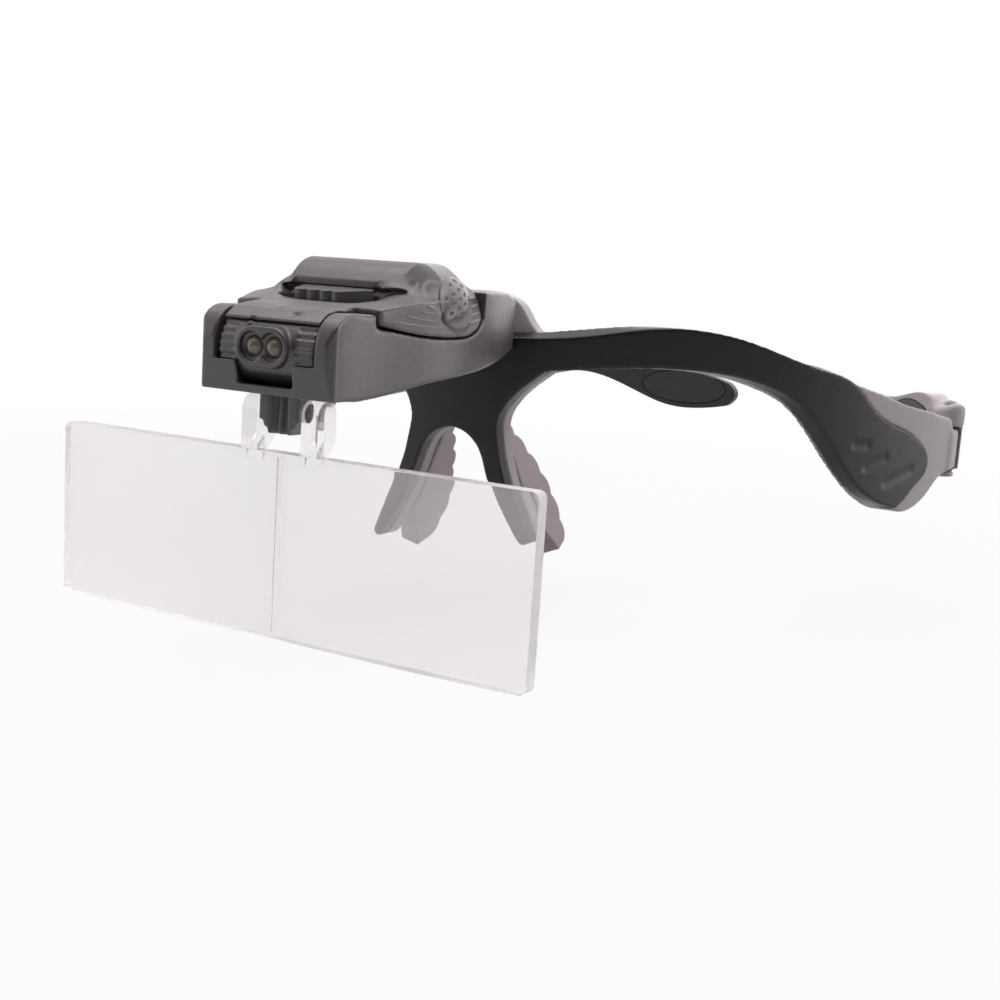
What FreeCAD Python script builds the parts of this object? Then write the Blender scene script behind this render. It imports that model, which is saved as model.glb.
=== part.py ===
import FreeCAD, Part
import math
import os
import Sketcher
from FreeCAD import Placement, Rotation, Vector

# Spectacle magnifier: a wrapped brow bar with nose legs and folding temples carries a lamp cradle,
# a lift-off lamp module and a clear lens plate that flips up.
# Origin: middle of the lens's top front edge. +X is the wearer's left, +Y points at the face, +Z is up.

os.makedirs("parts", exist_ok=True)
doc = FreeCAD.newDocument("Magnifier")
sheet = doc.addObject("Spreadsheet::Sheet", "Sizes")
rows = []


class Length:
    # A size that carries its value in mm and the expression that binds it to the sheet.
    def __init__(self, value, text):
        self.value = value
        self.text = text

    def __add__(self, other):
        other = asLength(other)
        return Length(self.value + other.value, "(" + self.text + " + " + other.text + ")")

    def __sub__(self, other):
        other = asLength(other)
        return Length(self.value - other.value, "(" + self.text + " - " + other.text + ")")

    def __mul__(self, share):
        return Length(self.value * share, "(" + self.text + " * " + repr(share) + ")")

    def __truediv__(self, share):
        return Length(self.value / share, "(" + self.text + " / " + repr(share) + ")")

    def __neg__(self):
        return Length(-self.value, "(-" + self.text + ")")


def asLength(value):
    return value if isinstance(value, Length) else Length(value, repr(value))


def size(name, value):
    rows.append(name)
    cell = str(len(rows))
    sheet.set("A" + cell, name)
    sheet.set("B" + cell, str(value))
    sheet.setAlias("B" + cell, name)
    return Length(value, "Sizes." + name)


def legOf(long, short):
    # The third side of a right-angled triangle, from its longest and one short side.
    return Length(
        math.sqrt(long.value ** 2 - short.value ** 2),
        "sqrt((" + long.text + ")^2 - (" + short.text + ")^2)",
    )


zero = Length(0, "0")

# Sizes of the whole
bridgeDepth = size("bridgeDepth", 48.0)
hingeDepth = size("hingeDepth", 64.6)
frameDepth = size("frameDepth", 66.2)
frameRise = size("frameRise", 21.0)
fitGap = size("fitGap", 0.3)
runGap = size("runGap", 0.05)
overrun = size("overrun", 2.0)

# Lens plate
lensWidth = size("lensWidth", 88.0)
lensHeight = size("lensHeight", 28.2)
lensEdge = size("lensEdge", 2.4)
lensBulge = size("lensBulge", 0.6)
lensCorner = size("lensCorner", 1.2)
earWidth = size("earWidth", 3.05)
earDepth = size("earDepth", 4.4)
earRoot = size("earRoot", 2.0)
pinRise = size("pinRise", 6.0)
pinRadius = size("pinRadius", 1.3)

# Lens hanger
hangerHalf = size("hangerHalf", 3.75)
hangerDepth = size("hangerDepth", 5.0)
stubInner = size("stubInner", 1.5)
hangerStep = size("hangerStep", 1.0)
hangerInset = size("hangerInset", 0.8)
grooveWidth = size("grooveWidth", 0.9)
grooveDepth = size("grooveDepth", 0.7)

# Lamp cradle
cradleHalf = size("cradleHalf", 17.6)
cradleFront = size("cradleFront", 4.4)
cradleBase = size("cradleBase", 8.8)
cradleRise = size("cradleRise", 16.3)
cradleWall = size("cradleWall", 1.6)
cheekInner = size("cheekInner", 9.15)
cheekDepth = size("cheekDepth", 4.9)
bayFloor = size("bayFloor", 13.9)
barrelFloor = size("barrelFloor", 13.0)
bayBack = size("bayBack", 28.1)
frontWallTop = size("frontWallTop", 13.5)
notchFloor = size("notchFloor", 10.0)
edgeRound = size("edgeRound", 0.8)

# Lamp barrel
barrelRadius = size("barrelRadius", 5.6)
barrelHalf = size("barrelHalf", 8.7)
barrelBack = size("barrelBack", 1.5)
barrelRise = size("barrelRise", 15.2)
bossReach = size("bossReach", 6.5)
bossRound = size("bossRound", 2.9)
bossSweep = size("bossSweep", 7.3)
ledSpread = size("ledSpread", 1.84)
ledRadius = size("ledRadius", 1.5)
ledRise = size("ledRise", 15.7)
ledDepth = size("ledDepth", 5.0)
recessDepth = size("recessDepth", 0.9)
axleRadius = size("axleRadius", 1.0)
armInner = size("armInner", 5.2)
armWidth = size("armWidth", 2.0)
armRound = size("armRound", 1.9)
gripWidth = size("gripWidth", 3.2)
gripCut = size("gripCut", 0.35)

# Lamp module
trayTop = size("trayTop", 16.8)
humpHalf = size("humpHalf", 10.3)
scoopHalf = size("scoopHalf", 12.5)
scoopRise = size("scoopRise", 2.4)
scoopFloor = size("scoopFloor", 22.4)
cellRadius = size("cellRadius", 5.8)
cellThick = size("cellThick", 5.4)
cellBack = size("cellBack", 21.0)
cellRise = size("cellRise", 21.2)
contactThick = size("contactThick", 0.4)
boardWidth = size("boardWidth", 14.0)
boardDepth = size("boardDepth", 5.2)
boardThick = size("boardThick", 1.0)
boardFront = size("boardFront", 8.8)
knobWidth = size("knobWidth", 11.8)
knobPoint = size("knobPoint", 1.8)
knobLeft = size("knobLeft", 6.9)
knobFront = size("knobFront", 11.0)
knobDepth = size("knobDepth", 3.0)
knobBase = size("knobBase", 22.3)
knobHeight = size("knobHeight", 2.3)
knobSlope = size("knobSlope", 0.8)
knobTravel = size("knobTravel", 2.4)
stemInset = size("stemInset", 0.8)
stemLow = size("stemLow", 21.05)
switchHigh = size("switchHigh", 3.2)
screwRadius = size("screwRadius", 1.0)
screwHead = size("screwHead", 1.8)
screwBite = size("screwBite", 3.0)
screwSide = size("screwSide", 10.2)
screwBack = size("screwBack", 19.0)
gripLength = size("gripLength", 4.4)
gripHeight = size("gripHeight", 3.9)
gripBack = size("gripBack", 20.6)
gripRise = size("gripRise", 23.1)
ribHigh = size("ribHigh", 0.3)

# Front frame
barRadius = size("barRadius", 75.0)
darkThick = size("darkThick", 2.6)
linerThick = size("linerThick", 2.8)
crestHalf = size("crestHalf", 14.6)
crestRise = size("crestRise", 25.0)
padWidth = size("padWidth", 3.6)
padDepth = size("padDepth", 11.0)
padLength = size("padLength", 25.4)
padTop = size("padTop", 2.2)
padLean = size("padLean", 9.0)
padDrop = size("padDrop", 6.8)
padRib = size("padRib", 0.9)

# Temples
knuckleRadius = size("knuckleRadius", 2.2)
knuckleTop = size("knuckleTop", 4.5)
knuckleBottom = size("knuckleBottom", 3.4)
hoodRadius = size("hoodRadius", 3.0)
earTop = size("earTop", 8.2)
earBottom = size("earBottom", 4.9)
hingePinRadius = size("hingePinRadius", 0.9)
templeLength = size("templeLength", 98.5)
templeRise = size("templeRise", 21.0)
templeThick = size("templeThick", 4.4)
templeBow = size("templeBow", 2.0)
inlayDepth = size("inlayDepth", 0.8)
inlayHeight = size("inlayHeight", 3.3)
inlayLength = size("inlayLength", 9.5)

# Angles in degrees, and counts
splayAngle = 22.6
leftFold = 39.0
rightFold = 87.0
grooveStep = 12.0
grooveCount = 7
knobRibs = 4
doc.recompute()

axisX = Vector(1, 0, 0)
axisY = Vector(0, 1, 0)
axisZ = Vector(0, 0, 1)


# Helpers: part design bodies
def newBody(name):
    body = doc.addObject("PartDesign::Body", name)
    body.Label = name
    return body


def newSketch(body, role, offset=zero):
    sketch = body.newObject("Sketcher::SketchObject", body.Name + "_sketch")
    plane = [item for item in body.Origin.OriginFeatures if item.Role == role][0]
    sketch.AttachmentSupport = [(plane, "")]
    sketch.MapMode = "FlatFace"
    sketch.setExpression("AttachmentOffset.Base.z", offset.text)
    return sketch


def bind(sketch, kind, *items):
    # Adds one driving dimension. The last item is the Length that drives it.
    length = items[-1]
    index = sketch.addConstraint(Sketcher.Constraint(kind, *items[:-1], length.value))
    sketch.setExpression("Constraints[" + str(index) + "]", length.text)


def place(sketch, geometry, point, where):
    bind(sketch, "DistanceX", -1, 1, geometry, point, where[0])
    bind(sketch, "DistanceY", -1, 1, geometry, point, where[1])


def flat(where):
    return Vector(where[0].value, where[1].value, 0)


def drawOutline(sketch, corners, bows=None):
    # A closed outline. bows gives, for the side that starts at a corner, a point that its arc passes.
    bows = bows or {}
    count = len(corners)
    for index, corner in enumerate(corners):
        following = corners[(index + 1) % count]
        if index in bows:
            arc = Part.Arc(flat(corner), flat(bows[index]), flat(following))
            sketch.addGeometry(arc, False)
        else:
            sketch.addGeometry(Part.LineSegment(flat(corner), flat(following)), False)
    starts = []
    ends = []
    for index, corner in enumerate(corners):
        begin = sketch.getPoint(index, 1)
        near = (begin - flat(corner)).Length <= (sketch.getPoint(index, 2) - flat(corner)).Length
        starts.append(1 if near else 2)
        ends.append(2 if near else 1)
    for index, corner in enumerate(corners):
        following = (index + 1) % count
        joined = (index, ends[index], following, starts[following])
        sketch.addConstraint(Sketcher.Constraint("Coincident", *joined))
        place(sketch, index, starts[index], corner)
    for index, bow in bows.items():
        marker = sketch.addGeometry(Part.Point(flat(bow)), True)
        place(sketch, marker, 1, bow)
        sketch.addConstraint(Sketcher.Constraint("PointOnObject", marker, 1, index))


def drawCircle(sketch, centre, radius):
    index = sketch.addGeometry(Part.Circle(flat(centre), axisZ, radius.value), False)
    place(sketch, index, 3, centre)
    bind(sketch, "Radius", index, radius)


def rectangle(left, bottom, right, top):
    return [(left, bottom), (right, bottom), (right, top), (left, top)]


def pad(body, sketch, length, backward=False, both=False):
    feature = body.newObject("PartDesign::Pad", body.Name + "_pad")
    feature.Profile = sketch
    feature.setExpression("Length", length.text)
    feature.Reversed = backward
    if both:
        feature.SideType = "Symmetric"
    return feature


def pocket(body, sketch, length, backward=False, both=False):
    feature = body.newObject("PartDesign::Pocket", body.Name + "_pocket")
    feature.Profile = sketch
    feature.setExpression("Length", length.text)
    feature.Reversed = backward
    if both:
        feature.SideType = "Symmetric"
    return feature


def mirrorAcross(body, role, features):
    plane = [item for item in body.Origin.OriginFeatures if item.Role == role][0]
    feature = body.newObject("PartDesign::Mirrored", body.Name + "_mirror")
    feature.Originals = features
    feature.MirrorPlane = (plane, [""])
    body.Tip = feature
    return feature


# Helpers: part objects
def shapeObject(name, shape):
    feature = doc.addObject("Part::Feature", name)
    feature.Shape = shape
    return feature


def box(name, low, high):
    feature = doc.addObject("Part::Box", name)
    for key, begin, end in zip(("Length", "Width", "Height"), low, high):
        feature.setExpression(key, (end - begin).text)
    for key, begin in zip(("x", "y", "z"), low):
        feature.setExpression("Placement.Base." + key, begin.text)
    return feature


def rod(name, axis, start, radius, length):
    # A cylinder from start along +X, +Y or +Z.
    feature = doc.addObject("Part::Cylinder", name)
    feature.setExpression("Radius", radius.text)
    feature.setExpression("Height", length.text)
    feature.Placement = Placement(Vector(), Rotation(axisZ, axis))
    for key, begin in zip(("x", "y", "z"), start):
        feature.setExpression("Placement.Base." + key, begin.text)
    return feature


def combine(kind, name, *items):
    # Fuse, Common or Cut of document objects. Cut takes the rest from the first.
    if kind == "Cut" and len(items) > 2:
        tool = doc.addObject("Part::MultiFuse", name + "_tools")
        tool.Shapes = list(items[1:])
        items = (items[0], tool)
    if kind == "Cut":
        feature = doc.addObject("Part::Cut", name)
        feature.Base = items[0]
        feature.Tool = items[1]
    else:
        feature = doc.addObject("Part::Multi" + kind, name)
        feature.Shapes = list(items)
    feature.Refine = True
    doc.recompute()
    return feature


def spot(plane, u, v, level=0):
    if plane == "XY":
        return Vector(u, v, level)
    if plane == "XZ":
        return Vector(u, level, v)
    return Vector(level, u, v)


def face(plane, level, runs):
    # A flat face whose border is a chain of runs: ("line", points) or ("curve", points).
    edges = []
    for kind, points in runs:
        places = [spot(plane, u.value, v.value, level.value) for u, v in points]
        if kind == "line":
            edges += [Part.makeLine(a, b) for a, b in zip(places, places[1:])]
        else:
            curve = Part.BSplineCurve()
            curve.interpolate(places)
            edges.append(curve.toShape())
    first = edges[0].valueAt(edges[0].FirstParameter)
    last = edges[-1].valueAt(edges[-1].LastParameter)
    if (first - last).Length > 1e-6 * lensWidth.value:
        edges.append(Part.makeLine(last, first))
    return Part.Face(Part.Wire(Part.__sortEdges__(edges)))


def prism(name, plane, start, length, runs):
    # A face pushed along its normal, from start over length.
    base = shapeObject(name + "_face", face(plane, start, runs))
    feature = doc.addObject("Part::Extrusion", name)
    feature.Base = base
    feature.DirMode = "Custom"
    feature.Dir = {"XY": axisZ, "XZ": axisY, "YZ": axisX}[plane]
    feature.Solid = True
    feature.setExpression("LengthFwd", length.text)
    doc.recompute()
    return feature


def shared(shares, origin, spans):
    return [(origin[0] + spans[0] * u, origin[1] + spans[1] * v) for u, v in shares]


def mirrored(points):
    return [(-u, v) for u, v in reversed(points)]


def ring(centre, radii):
    # Twelve points round an oval, and the first again.
    points = []
    for index in range(13):
        angle = math.pi * 2 * index / 12
        points.append((centre[0] + radii[0] * math.cos(angle), centre[1] + radii[1] * math.sin(angle)))
    return points


finished = []


def finish(feature, name):
    feature.Label = name
    finished.append((feature, name))


# Places that several pieces share
pinBack = earDepth / 2
earInner = hangerHalf + fitGap
bayRadius = barrelRadius + fitGap
innerRadius = barRadius - darkThick
backRadius = innerRadius - linerThick
barCentre = bridgeDepth + barRadius
hingeBack = bridgeDepth + hingeDepth
hingeHalf = legOf(barRadius - (darkThick + linerThick) / 2, barRadius - hingeDepth)
cellBayHalf = cellThick * 1.5 + contactThick
knobPitch = knobWidth * 0.8 / knobRibs
knobBow = knobPitch * 0.18


# Lens: two bowed halves that meet at a centre seam, with an ear on each side of the hanger
def makeLens():
    body = newBody("lens")
    half = lensWidth / 2
    plate = newSketch(body, "XY_Plane", -lensHeight)
    corners = [(-half, lensEdge), (-half, zero), (zero, zero), (half, zero), (half, lensEdge)]
    drawOutline(plate, corners, {1: (-half / 2, -lensBulge), 2: (half / 2, -lensBulge)})
    slab = pad(body, plate, lensHeight)
    doc.recompute()
    picks = []
    for index, edge in enumerate(slab.Shape.Edges):
        ends = [vertex.Point for vertex in edge.Vertexes]
        upright = abs(ends[0].x - ends[1].x) + abs(ends[0].z - ends[1].z)
        if upright < 1e-6 * lensWidth.value and abs(ends[0].x) > half.value / 2:
            picks.append("Edge" + str(index + 1))
    corner = body.newObject("PartDesign::Fillet", "lens_corners")
    corner.Base = (slab, picks)
    corner.setExpression("Radius", lensCorner.text)
    ear = newSketch(body, "YZ_Plane", earInner)
    rise = pinRise + earDepth / 2
    points = [(zero, -earRoot), (lensEdge, -earRoot), (earDepth, earRoot), (earDepth, pinRise)]
    drawOutline(ear, points + [(zero, pinRise)], {3: (pinBack, rise)})
    ears = pad(body, ear, earWidth)
    mirrorAcross(body, "YZ_Plane", [ears])
    for side in (-1, 1):
        start = stubInner if side > 0 else -earInner
        stub = newSketch(body, "YZ_Plane", start)
        drawCircle(stub, (pinBack, pinRise), pinRadius)
        pad(body, stub, earInner - stubInner)
    finish(body, "lens")


# Hanger: stepped bracket under the cradle, bored for the stubs of the lens ears
def makeHanger():
    body = newBody("lens_hanger")
    shoulder = pinRise - pinRadius
    steps = [
        (hangerHalf, shoulder),
        (hangerHalf - hangerInset, shoulder),
        (hangerHalf - hangerInset, shoulder - hangerStep),
        (hangerHalf - hangerInset * 2, shoulder - hangerStep),
        (hangerHalf - hangerInset * 2, shoulder - hangerStep * 2),
    ]
    top = [(-hangerHalf, cradleBase), (hangerHalf, cradleBase)]
    front = newSketch(body, "XZ_Plane", fitGap)
    drawOutline(front, top + steps + mirrored(steps))
    pad(body, front, hangerDepth, backward=True)
    hole = newSketch(body, "YZ_Plane")
    drawCircle(hole, (pinBack, pinRise), pinRadius + runGap)
    pocket(body, hole, hangerHalf * 3, both=True)
    for side in (1, -1):
        groove = newSketch(body, "XZ_Plane", fitGap)
        near = grooveWidth * 0.6
        far = grooveWidth * 1.6
        left, right = (near, far) if side > 0 else (-far, -near)
        drawOutline(groove, rectangle(left, shoulder - hangerStep * 2, right, cradleBase))
        pocket(body, groove, grooveDepth)
    finish(body, "lens_hanger")


# Cradle: plan outline times side outline, with the bay for the module and the round bay of the barrel
cradleSpan = (cradleHalf, bridgeDepth + cradleFront)
cradlePlanShares = (
    (0.733, 0.141), (0.847, 0.275), (0.966, 0.408), (1.0, 0.532), (0.966, 0.656), (0.83, 0.828),
)
cradleFrontShares = ((0.64, 0.0), (0.699, 0.022))
cradleBackShares = ((0.616, 1.03),)
bellyShares = (
    (0.015, 0.0), (0.13, 0.0), (0.227, 0.05), (0.308, 0.112), (0.377, 0.16), (0.468, 0.2), (0.592, 0.245),
    (0.8, 0.33), (1.03, 0.41),
)
towerShares = ((1.03, 0.41), (1.03, 0.88))
towerTopShares = ((1.03, 0.88), (0.924, 0.969), (0.771, 1.0))
towerFrontShares = ((0.771, 1.0), (0.626, 1.0), (0.624, 0.748))
rimShares = ((0.624, 0.748), (0.592, 0.644), (0.466, 0.558), (0.332, 0.571), (0.18, 0.644))
cheekShares = ((0.176, 0.761), (0.085, 0.761))
cheekFrontShares = ((0.085, 0.761), (0.019, 0.638), (-0.002, 0.38), (0.004, 0.2), (0.015, 0.0))


def drawnIn(points, inset):
    # The same curve, moved sideways towards the middle plane by inset.
    curve = Part.BSplineCurve()
    curve.interpolate([flat(point) for point in points])
    steps = len(points) * 2
    moved = []
    for index in range(steps + 1):
        share = curve.FirstParameter + (curve.LastParameter - curve.FirstParameter) * index / steps
        along = curve.tangent(share)[0]
        where = curve.value(share) + Vector(-along.y, along.x, 0) * inset.value
        moved.append((asLength(where.x), asLength(where.y)))
    return moved


def cradlePlan(name, start, length, inset=None):
    # The plan outline of the lamp, pushed up. inset draws its sides in.
    shares = cradleFrontShares[1:] + cradlePlanShares + cradleBackShares
    side = shared(shares, (zero, -cradleFront), cradleSpan)
    if inset:
        side = drawnIn(side, inset)
        nose = side[:1]
    else:
        nose = shared(cradleFrontShares, (zero, -cradleFront), cradleSpan)
    runs = [("curve", side), ("line", [side[-1], mirrored(side)[0]]), ("curve", mirrored(side))]
    runs.append(("line", mirrored(nose) + nose))
    return prism(name, "XY", start, length, runs)


def makeCradle():
    origin = (-cradleFront, cradleBase)
    spans = (bridgeDepth + cradleFront, cradleRise)
    runs = [
        ("line", shared(bellyShares[:2], origin, spans)),
        ("curve", shared(bellyShares[1:], origin, spans)),
        ("line", shared(towerShares, origin, spans)),
        ("curve", shared(towerTopShares, origin, spans)),
        ("line", shared(towerFrontShares, origin, spans)),
        ("curve", shared(rimShares, origin, spans)),
        ("line", shared((rimShares[-1],) + cheekShares, origin, spans)),
        ("curve", shared(cheekFrontShares, origin, spans)),
    ]
    side = prism("cradle_side", "YZ", -cradleHalf - overrun, (cradleHalf + overrun) * 2, runs)
    plan = cradlePlan("cradle_plan", zero, cradleBase + cradleRise + overrun)
    block = combine("Common", "cradle_block", side, plan)

    top = cradleBase + cradleRise + overrun
    inner = cradlePlan("cradle_inner", bayFloor, top - bayFloor, cradleWall)
    limit = box("bay_limit", (-cradleHalf, cheekDepth + fitGap, bayFloor), (cradleHalf, bayBack, top))
    bay = combine("Common", "module_bay", inner, limit)
    mouthLow = (-cheekInner, -cradleFront - overrun, frontWallTop)
    mouth = box("barrel_mouth", mouthLow, (cheekInner, cheekDepth * 2, top))
    drum = rod("barrel_bay", axisX, (-cheekInner, barrelBack, barrelRise), bayRadius, cheekInner * 2)
    back = box("barrel_room", (-cheekInner, barrelBack, barrelFloor), (cheekInner, cheekDepth * 2, top))
    notchHalf = ledSpread + bossRound + fitGap
    sweep = rod("boss_sweep", axisX, (-notchHalf, barrelBack, barrelRise), bossSweep, notchHalf * 2)
    aboveLow = (-notchHalf, -cradleFront - overrun, notchFloor)
    above = box("boss_limit", aboveLow, (notchHalf, barrelBack, top))
    notch = combine("Common", "boss_notch", sweep, above)
    brow = rod("brow_seat", axisZ, (zero, barCentre, zero), barRadius + runGap, crestRise * 2)
    cradle = combine("Cut", "cradle_cut", block, bay, mouth, drum, back, notch, brow)
    finish(cradle, "lamp_cradle")


# Module cover: lip over the barrel, plate with the thumb scoop, and the hump that sinks at both ends
flankShares = ((0.615, 1.25), (0.617, 0.76))
seamShares = ((0.617, 0.76), (0.588, 0.664), (0.466, 0.576), (0.334, 0.589), (0.187, 0.662))
coverFrontShares = ((0.187, 0.662), (0.184, 0.79), (0.184, 1.25))
dishShares = ((0.0, -0.02), (0.4, 0.0), (0.6, 0.08), (0.8, 0.38), (1.0, 0.9))
lipShares = ((0.032, 0.62), (0.032, 0.672), (0.069, 0.757), (0.113, 0.792), (0.16, 0.81), (0.2, 0.83))
roofInnerShares = (
    (0.184, 0.822), (0.256, 0.871), (0.323, 0.945), (0.37, 1.08), (0.408, 1.19),
    (0.447, 1.235), (0.571, 1.235), (0.607, 1.166), (0.617, 1.05),
)
roofMiddleShares = (
    (0.184, 0.804), (0.256, 0.847), (0.332, 0.902), (0.408, 0.957), (0.447, 1.031),
    (0.481, 1.153), (0.523, 1.202), (0.58, 1.153), (0.617, 1.05),
)
roofOuterShares = (
    (0.184, 0.791), (0.256, 0.822), (0.332, 0.865), (0.408, 0.908), (0.466, 0.945),
    (0.523, 1.0), (0.561, 1.074), (0.59, 1.092), (0.617, 1.05),
)
sideDraftShares = (
    (0.585, 1.24), (0.68, 1.2), (0.785, 1.13), (0.853, 1.05), (0.91, 0.93), (0.962, 0.76), (1.0, 0.58),
)


def roofRuns(shares):
    top = shared(shares, (-cradleFront, cradleBase), (bridgeDepth + cradleFront, cradleRise))
    floor = cradleBase + cradleRise * 0.4
    return [("curve", top), ("line", [top[-1], (top[-1][0], floor), (top[0][0], floor), top[0]])]


def roofSection(name, level, shares):
    return shapeObject(name, face("YZ", level, roofRuns(shares)).OuterWire)


def makeRoof():
    pieces = [prism("roof_centre", "YZ", -humpHalf, humpHalf * 2, roofRuns(roofInnerShares))]
    for side in (-1, 1):
        loft = doc.addObject("Part::Loft", "roof_end")
        loft.Sections = [
            roofSection("roof_inner", humpHalf * side, roofInnerShares),
            roofSection("roof_middle", humpHalf * (1.36 * side), roofMiddleShares),
            roofSection("roof_outer", cradleHalf * (1.03 * side), roofOuterShares),
        ]
        loft.Solid = True
        pieces.append(loft)
    roof = combine("Fuse", "cover_roof", *pieces)
    rise = shared(sideDraftShares, (zero, cradleBase), (cradleHalf, cradleRise))
    runs = [
        ("curve", rise), ("line", [rise[-1], (rise[-1][0], zero), (-rise[-1][0], zero), mirrored(rise)[0]]),
        ("curve", mirrored(rise)), ("line", [mirrored(rise)[-1], rise[0]]),
    ]
    draft = prism("cover_draft", "XZ", zero, bridgeDepth, runs)
    return combine("Common", "cover_top", roof, draft)


def makeCover():
    origin = (-cradleFront, cradleBase)
    spans = (bridgeDepth + cradleFront, cradleRise)
    top = cradleBase + cradleRise * 1.4
    front = shared(coverFrontShares, origin, spans)
    flank = shared(flankShares, origin, spans)
    runs = [("line", front + flank), ("curve", shared(seamShares, origin, spans))]
    side = prism("cover_side", "YZ", -cradleHalf - overrun, (cradleHalf + overrun) * 2, runs)
    plan = cradlePlan("cover_plan", zero, top)
    body = combine("Common", "cover_body_block", side, plan)
    upper = combine("Common", "cover_upper", body, makeRoof())
    ledge = bayBack - fitGap
    cellFront = cellBack - cellRadius
    humpRuns = [("line", [(cellFront, trayTop), (ledge, trayTop), (ledge, cellRise), (cellFront, cellRise)])]
    hump = prism("cover_core", "YZ", -humpHalf, humpHalf * 2, humpRuns)
    lipBack = cheekDepth * 2
    lipTop = shared(lipShares, origin, spans)
    lipRuns = [("line", lipTop + [(lipBack, lipTop[-1][1]), (lipBack, trayTop), (barrelBack, trayTop)])]
    lipBlock = prism("cover_lip", "YZ", -barrelHalf, barrelHalf * 2, lipRuns)
    drum = rod("lip_bay", axisX, (-cradleHalf, barrelBack, barrelRise), bayRadius, cradleHalf * 2)
    skirtPlan = cradlePlan("skirt_plan", trayTop, cradleRise * 0.2, cradleWall + fitGap)
    skirtLow = (-cradleHalf, barrelBack + bayRadius, trayTop)
    skirtBox = box("skirt_box", skirtLow, (cradleHalf, ledge, top))
    skirt = combine("Common", "cover_skirt", skirtPlan, skirtBox)
    whole = combine("Fuse", "cover_whole", upper, hump, lipBlock, skirt)
    # Hollow: the cell bay, the room of the switch and board, the scoop and the slot of the knob
    cells = rod("cell_bay", axisX, (-cellBayHalf, cellBack, cellRise), cellRadius + fitGap, cellBayHalf * 2)
    boardHalf = boardWidth / 2 + fitGap
    boardBack = boardFront + boardDepth + fitGap
    roomTop = trayTop + boardThick + switchHigh + fitGap
    roomLow = (-boardHalf, boardFront - fitGap, trayTop - overrun)
    room = box("board_room", roomLow, (boardHalf, boardBack, roomTop))
    scoopFront = cheekDepth * 0.6
    scoopTop = knobBase + knobHeight * 1.5
    knobBack = knobFront + knobDepth
    scoopBack = knobBack + fitGap
    scoopRuns = [("line", [
        (scoopFront, scoopFloor - fitGap * 2), (knobFront, scoopFloor), (knobBack, scoopFloor + knobSlope),
        (scoopBack + overrun, scoopTop), (scoopFront, scoopTop),
    ])]
    scoopSide = prism("scoop_side", "YZ", -scoopHalf, scoopHalf * 2, scoopRuns)
    dish = shared(dishShares, (zero, scoopFloor), (scoopHalf, scoopRise))
    dishRuns = [("curve", mirrored(dish)[:-1] + dish), ("line", [dish[-1], mirrored(dish)[0]])]
    scoopDish = prism("scoop_dish", "XZ", zero, bridgeDepth, dishRuns)
    scoop = combine("Common", "thumb_scoop", scoopSide, scoopDish)
    left = -knobLeft - knobTravel - fitGap
    right = knobWidth - knobLeft + knobPoint + fitGap
    channelFront = knobFront - knobBow - fitGap
    channel = box("knob_channel", (left, channelFront, knobBase - fitGap), (right, scoopBack, scoopTop))
    stemHalf = knobWidth / 4
    slotFront = knobFront + stemInset - fitGap
    slotBack = knobBack - stemInset + fitGap
    slotLow = (-stemHalf - knobTravel - fitGap, slotFront, roomTop - fitGap)
    slot = box("knob_slot", slotLow, (stemHalf + fitGap, slotBack, knobBase))
    tools = [drum, cells, room, scoop, channel, slot]
    boreLength = screwBite + runGap
    for side in (-1, 1):
        start = (screwSide * side, screwBack, trayTop)
        tools.append(rod("screw_bore", axisZ, start, screwRadius, boreLength))
    shell = combine("Cut", "cover_shell", whole, *tools)
    # Finger grips: an oval pad on each end of the hump
    points = ring((gripBack, gripRise), (gripLength, gripHeight))
    pads = prism("grip_pads", "YZ", -cradleHalf, cradleHalf * 2, [("curve", points)])
    hollowHalf = screwSide + screwRadius + fitGap
    hollow = box("grip_hollow", (-hollowHalf, zero, zero), (hollowHalf, bridgeDepth, top))
    grown = doc.addObject("Part::Feature", "grip_skin")
    grown.Shape = upper.Shape.copy()
    grown.Placement = Placement(Vector(ribHigh.value, 0, 0), Rotation())
    back = doc.addObject("Part::Feature", "grip_skin_back")
    back.Shape = upper.Shape.copy()
    back.Placement = Placement(Vector(-ribHigh.value, 0, 0), Rotation())
    skin = combine("Fuse", "grip_skins", grown, back)
    discs = combine("Cut", "grip_discs", combine("Common", "grip_common", pads, skin), hollow)
    cover = combine("Fuse", "cover_body", shell, discs)
    finish(cover, "module_cover")


# Module tray: floor under the cells and the two arms that carry the barrel's axle
def makeTray():
    floorLow = bayFloor + fitGap
    plan = cradlePlan("tray_plan", floorLow, trayTop - floorLow, cradleWall + fitGap)
    back = bayBack - fitGap
    front = barrelBack + bayRadius + fitGap
    limit = box("tray_limit", (-cradleHalf, front, floorLow), (cradleHalf, back, trayTop))
    floor = combine("Common", "tray_floor", plan, limit)
    pieces = [floor]
    for side in (-1, 1):
        left = armInner if side > 0 else -armInner - armWidth
        low = (left, barrelBack, barrelRise - armRound)
        pieces.append(box("barrel_arm", low, (left + armWidth, front + overrun, trayTop)))
        pieces.append(rod("arm_eye", axisX, (left, barrelBack, barrelRise), armRound, armWidth))
    block = combine("Fuse", "tray_block", *pieces)
    cells = rod("tray_cells", axisX, (-cellBayHalf, cellBack, cellRise), cellRadius + fitGap, cellBayHalf * 2)
    boreStart = (-cheekInner, barrelBack, barrelRise)
    bore = rod("arm_bore", axisX, boreStart, axleRadius + runGap / 2, cheekInner * 2)
    tools = [cells, bore]
    for side in (-1, 1):
        start = (screwSide * side, screwBack, floorLow - overrun)
        tools.append(rod("screw_hole", axisZ, start, screwRadius, cradleRise))
        tools.append(rod("screw_sink", axisZ, start, screwHead, overrun + screwRadius))
    tray = combine("Cut", "tray_cut", block, *tools)
    finish(tray, "module_tray")


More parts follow.
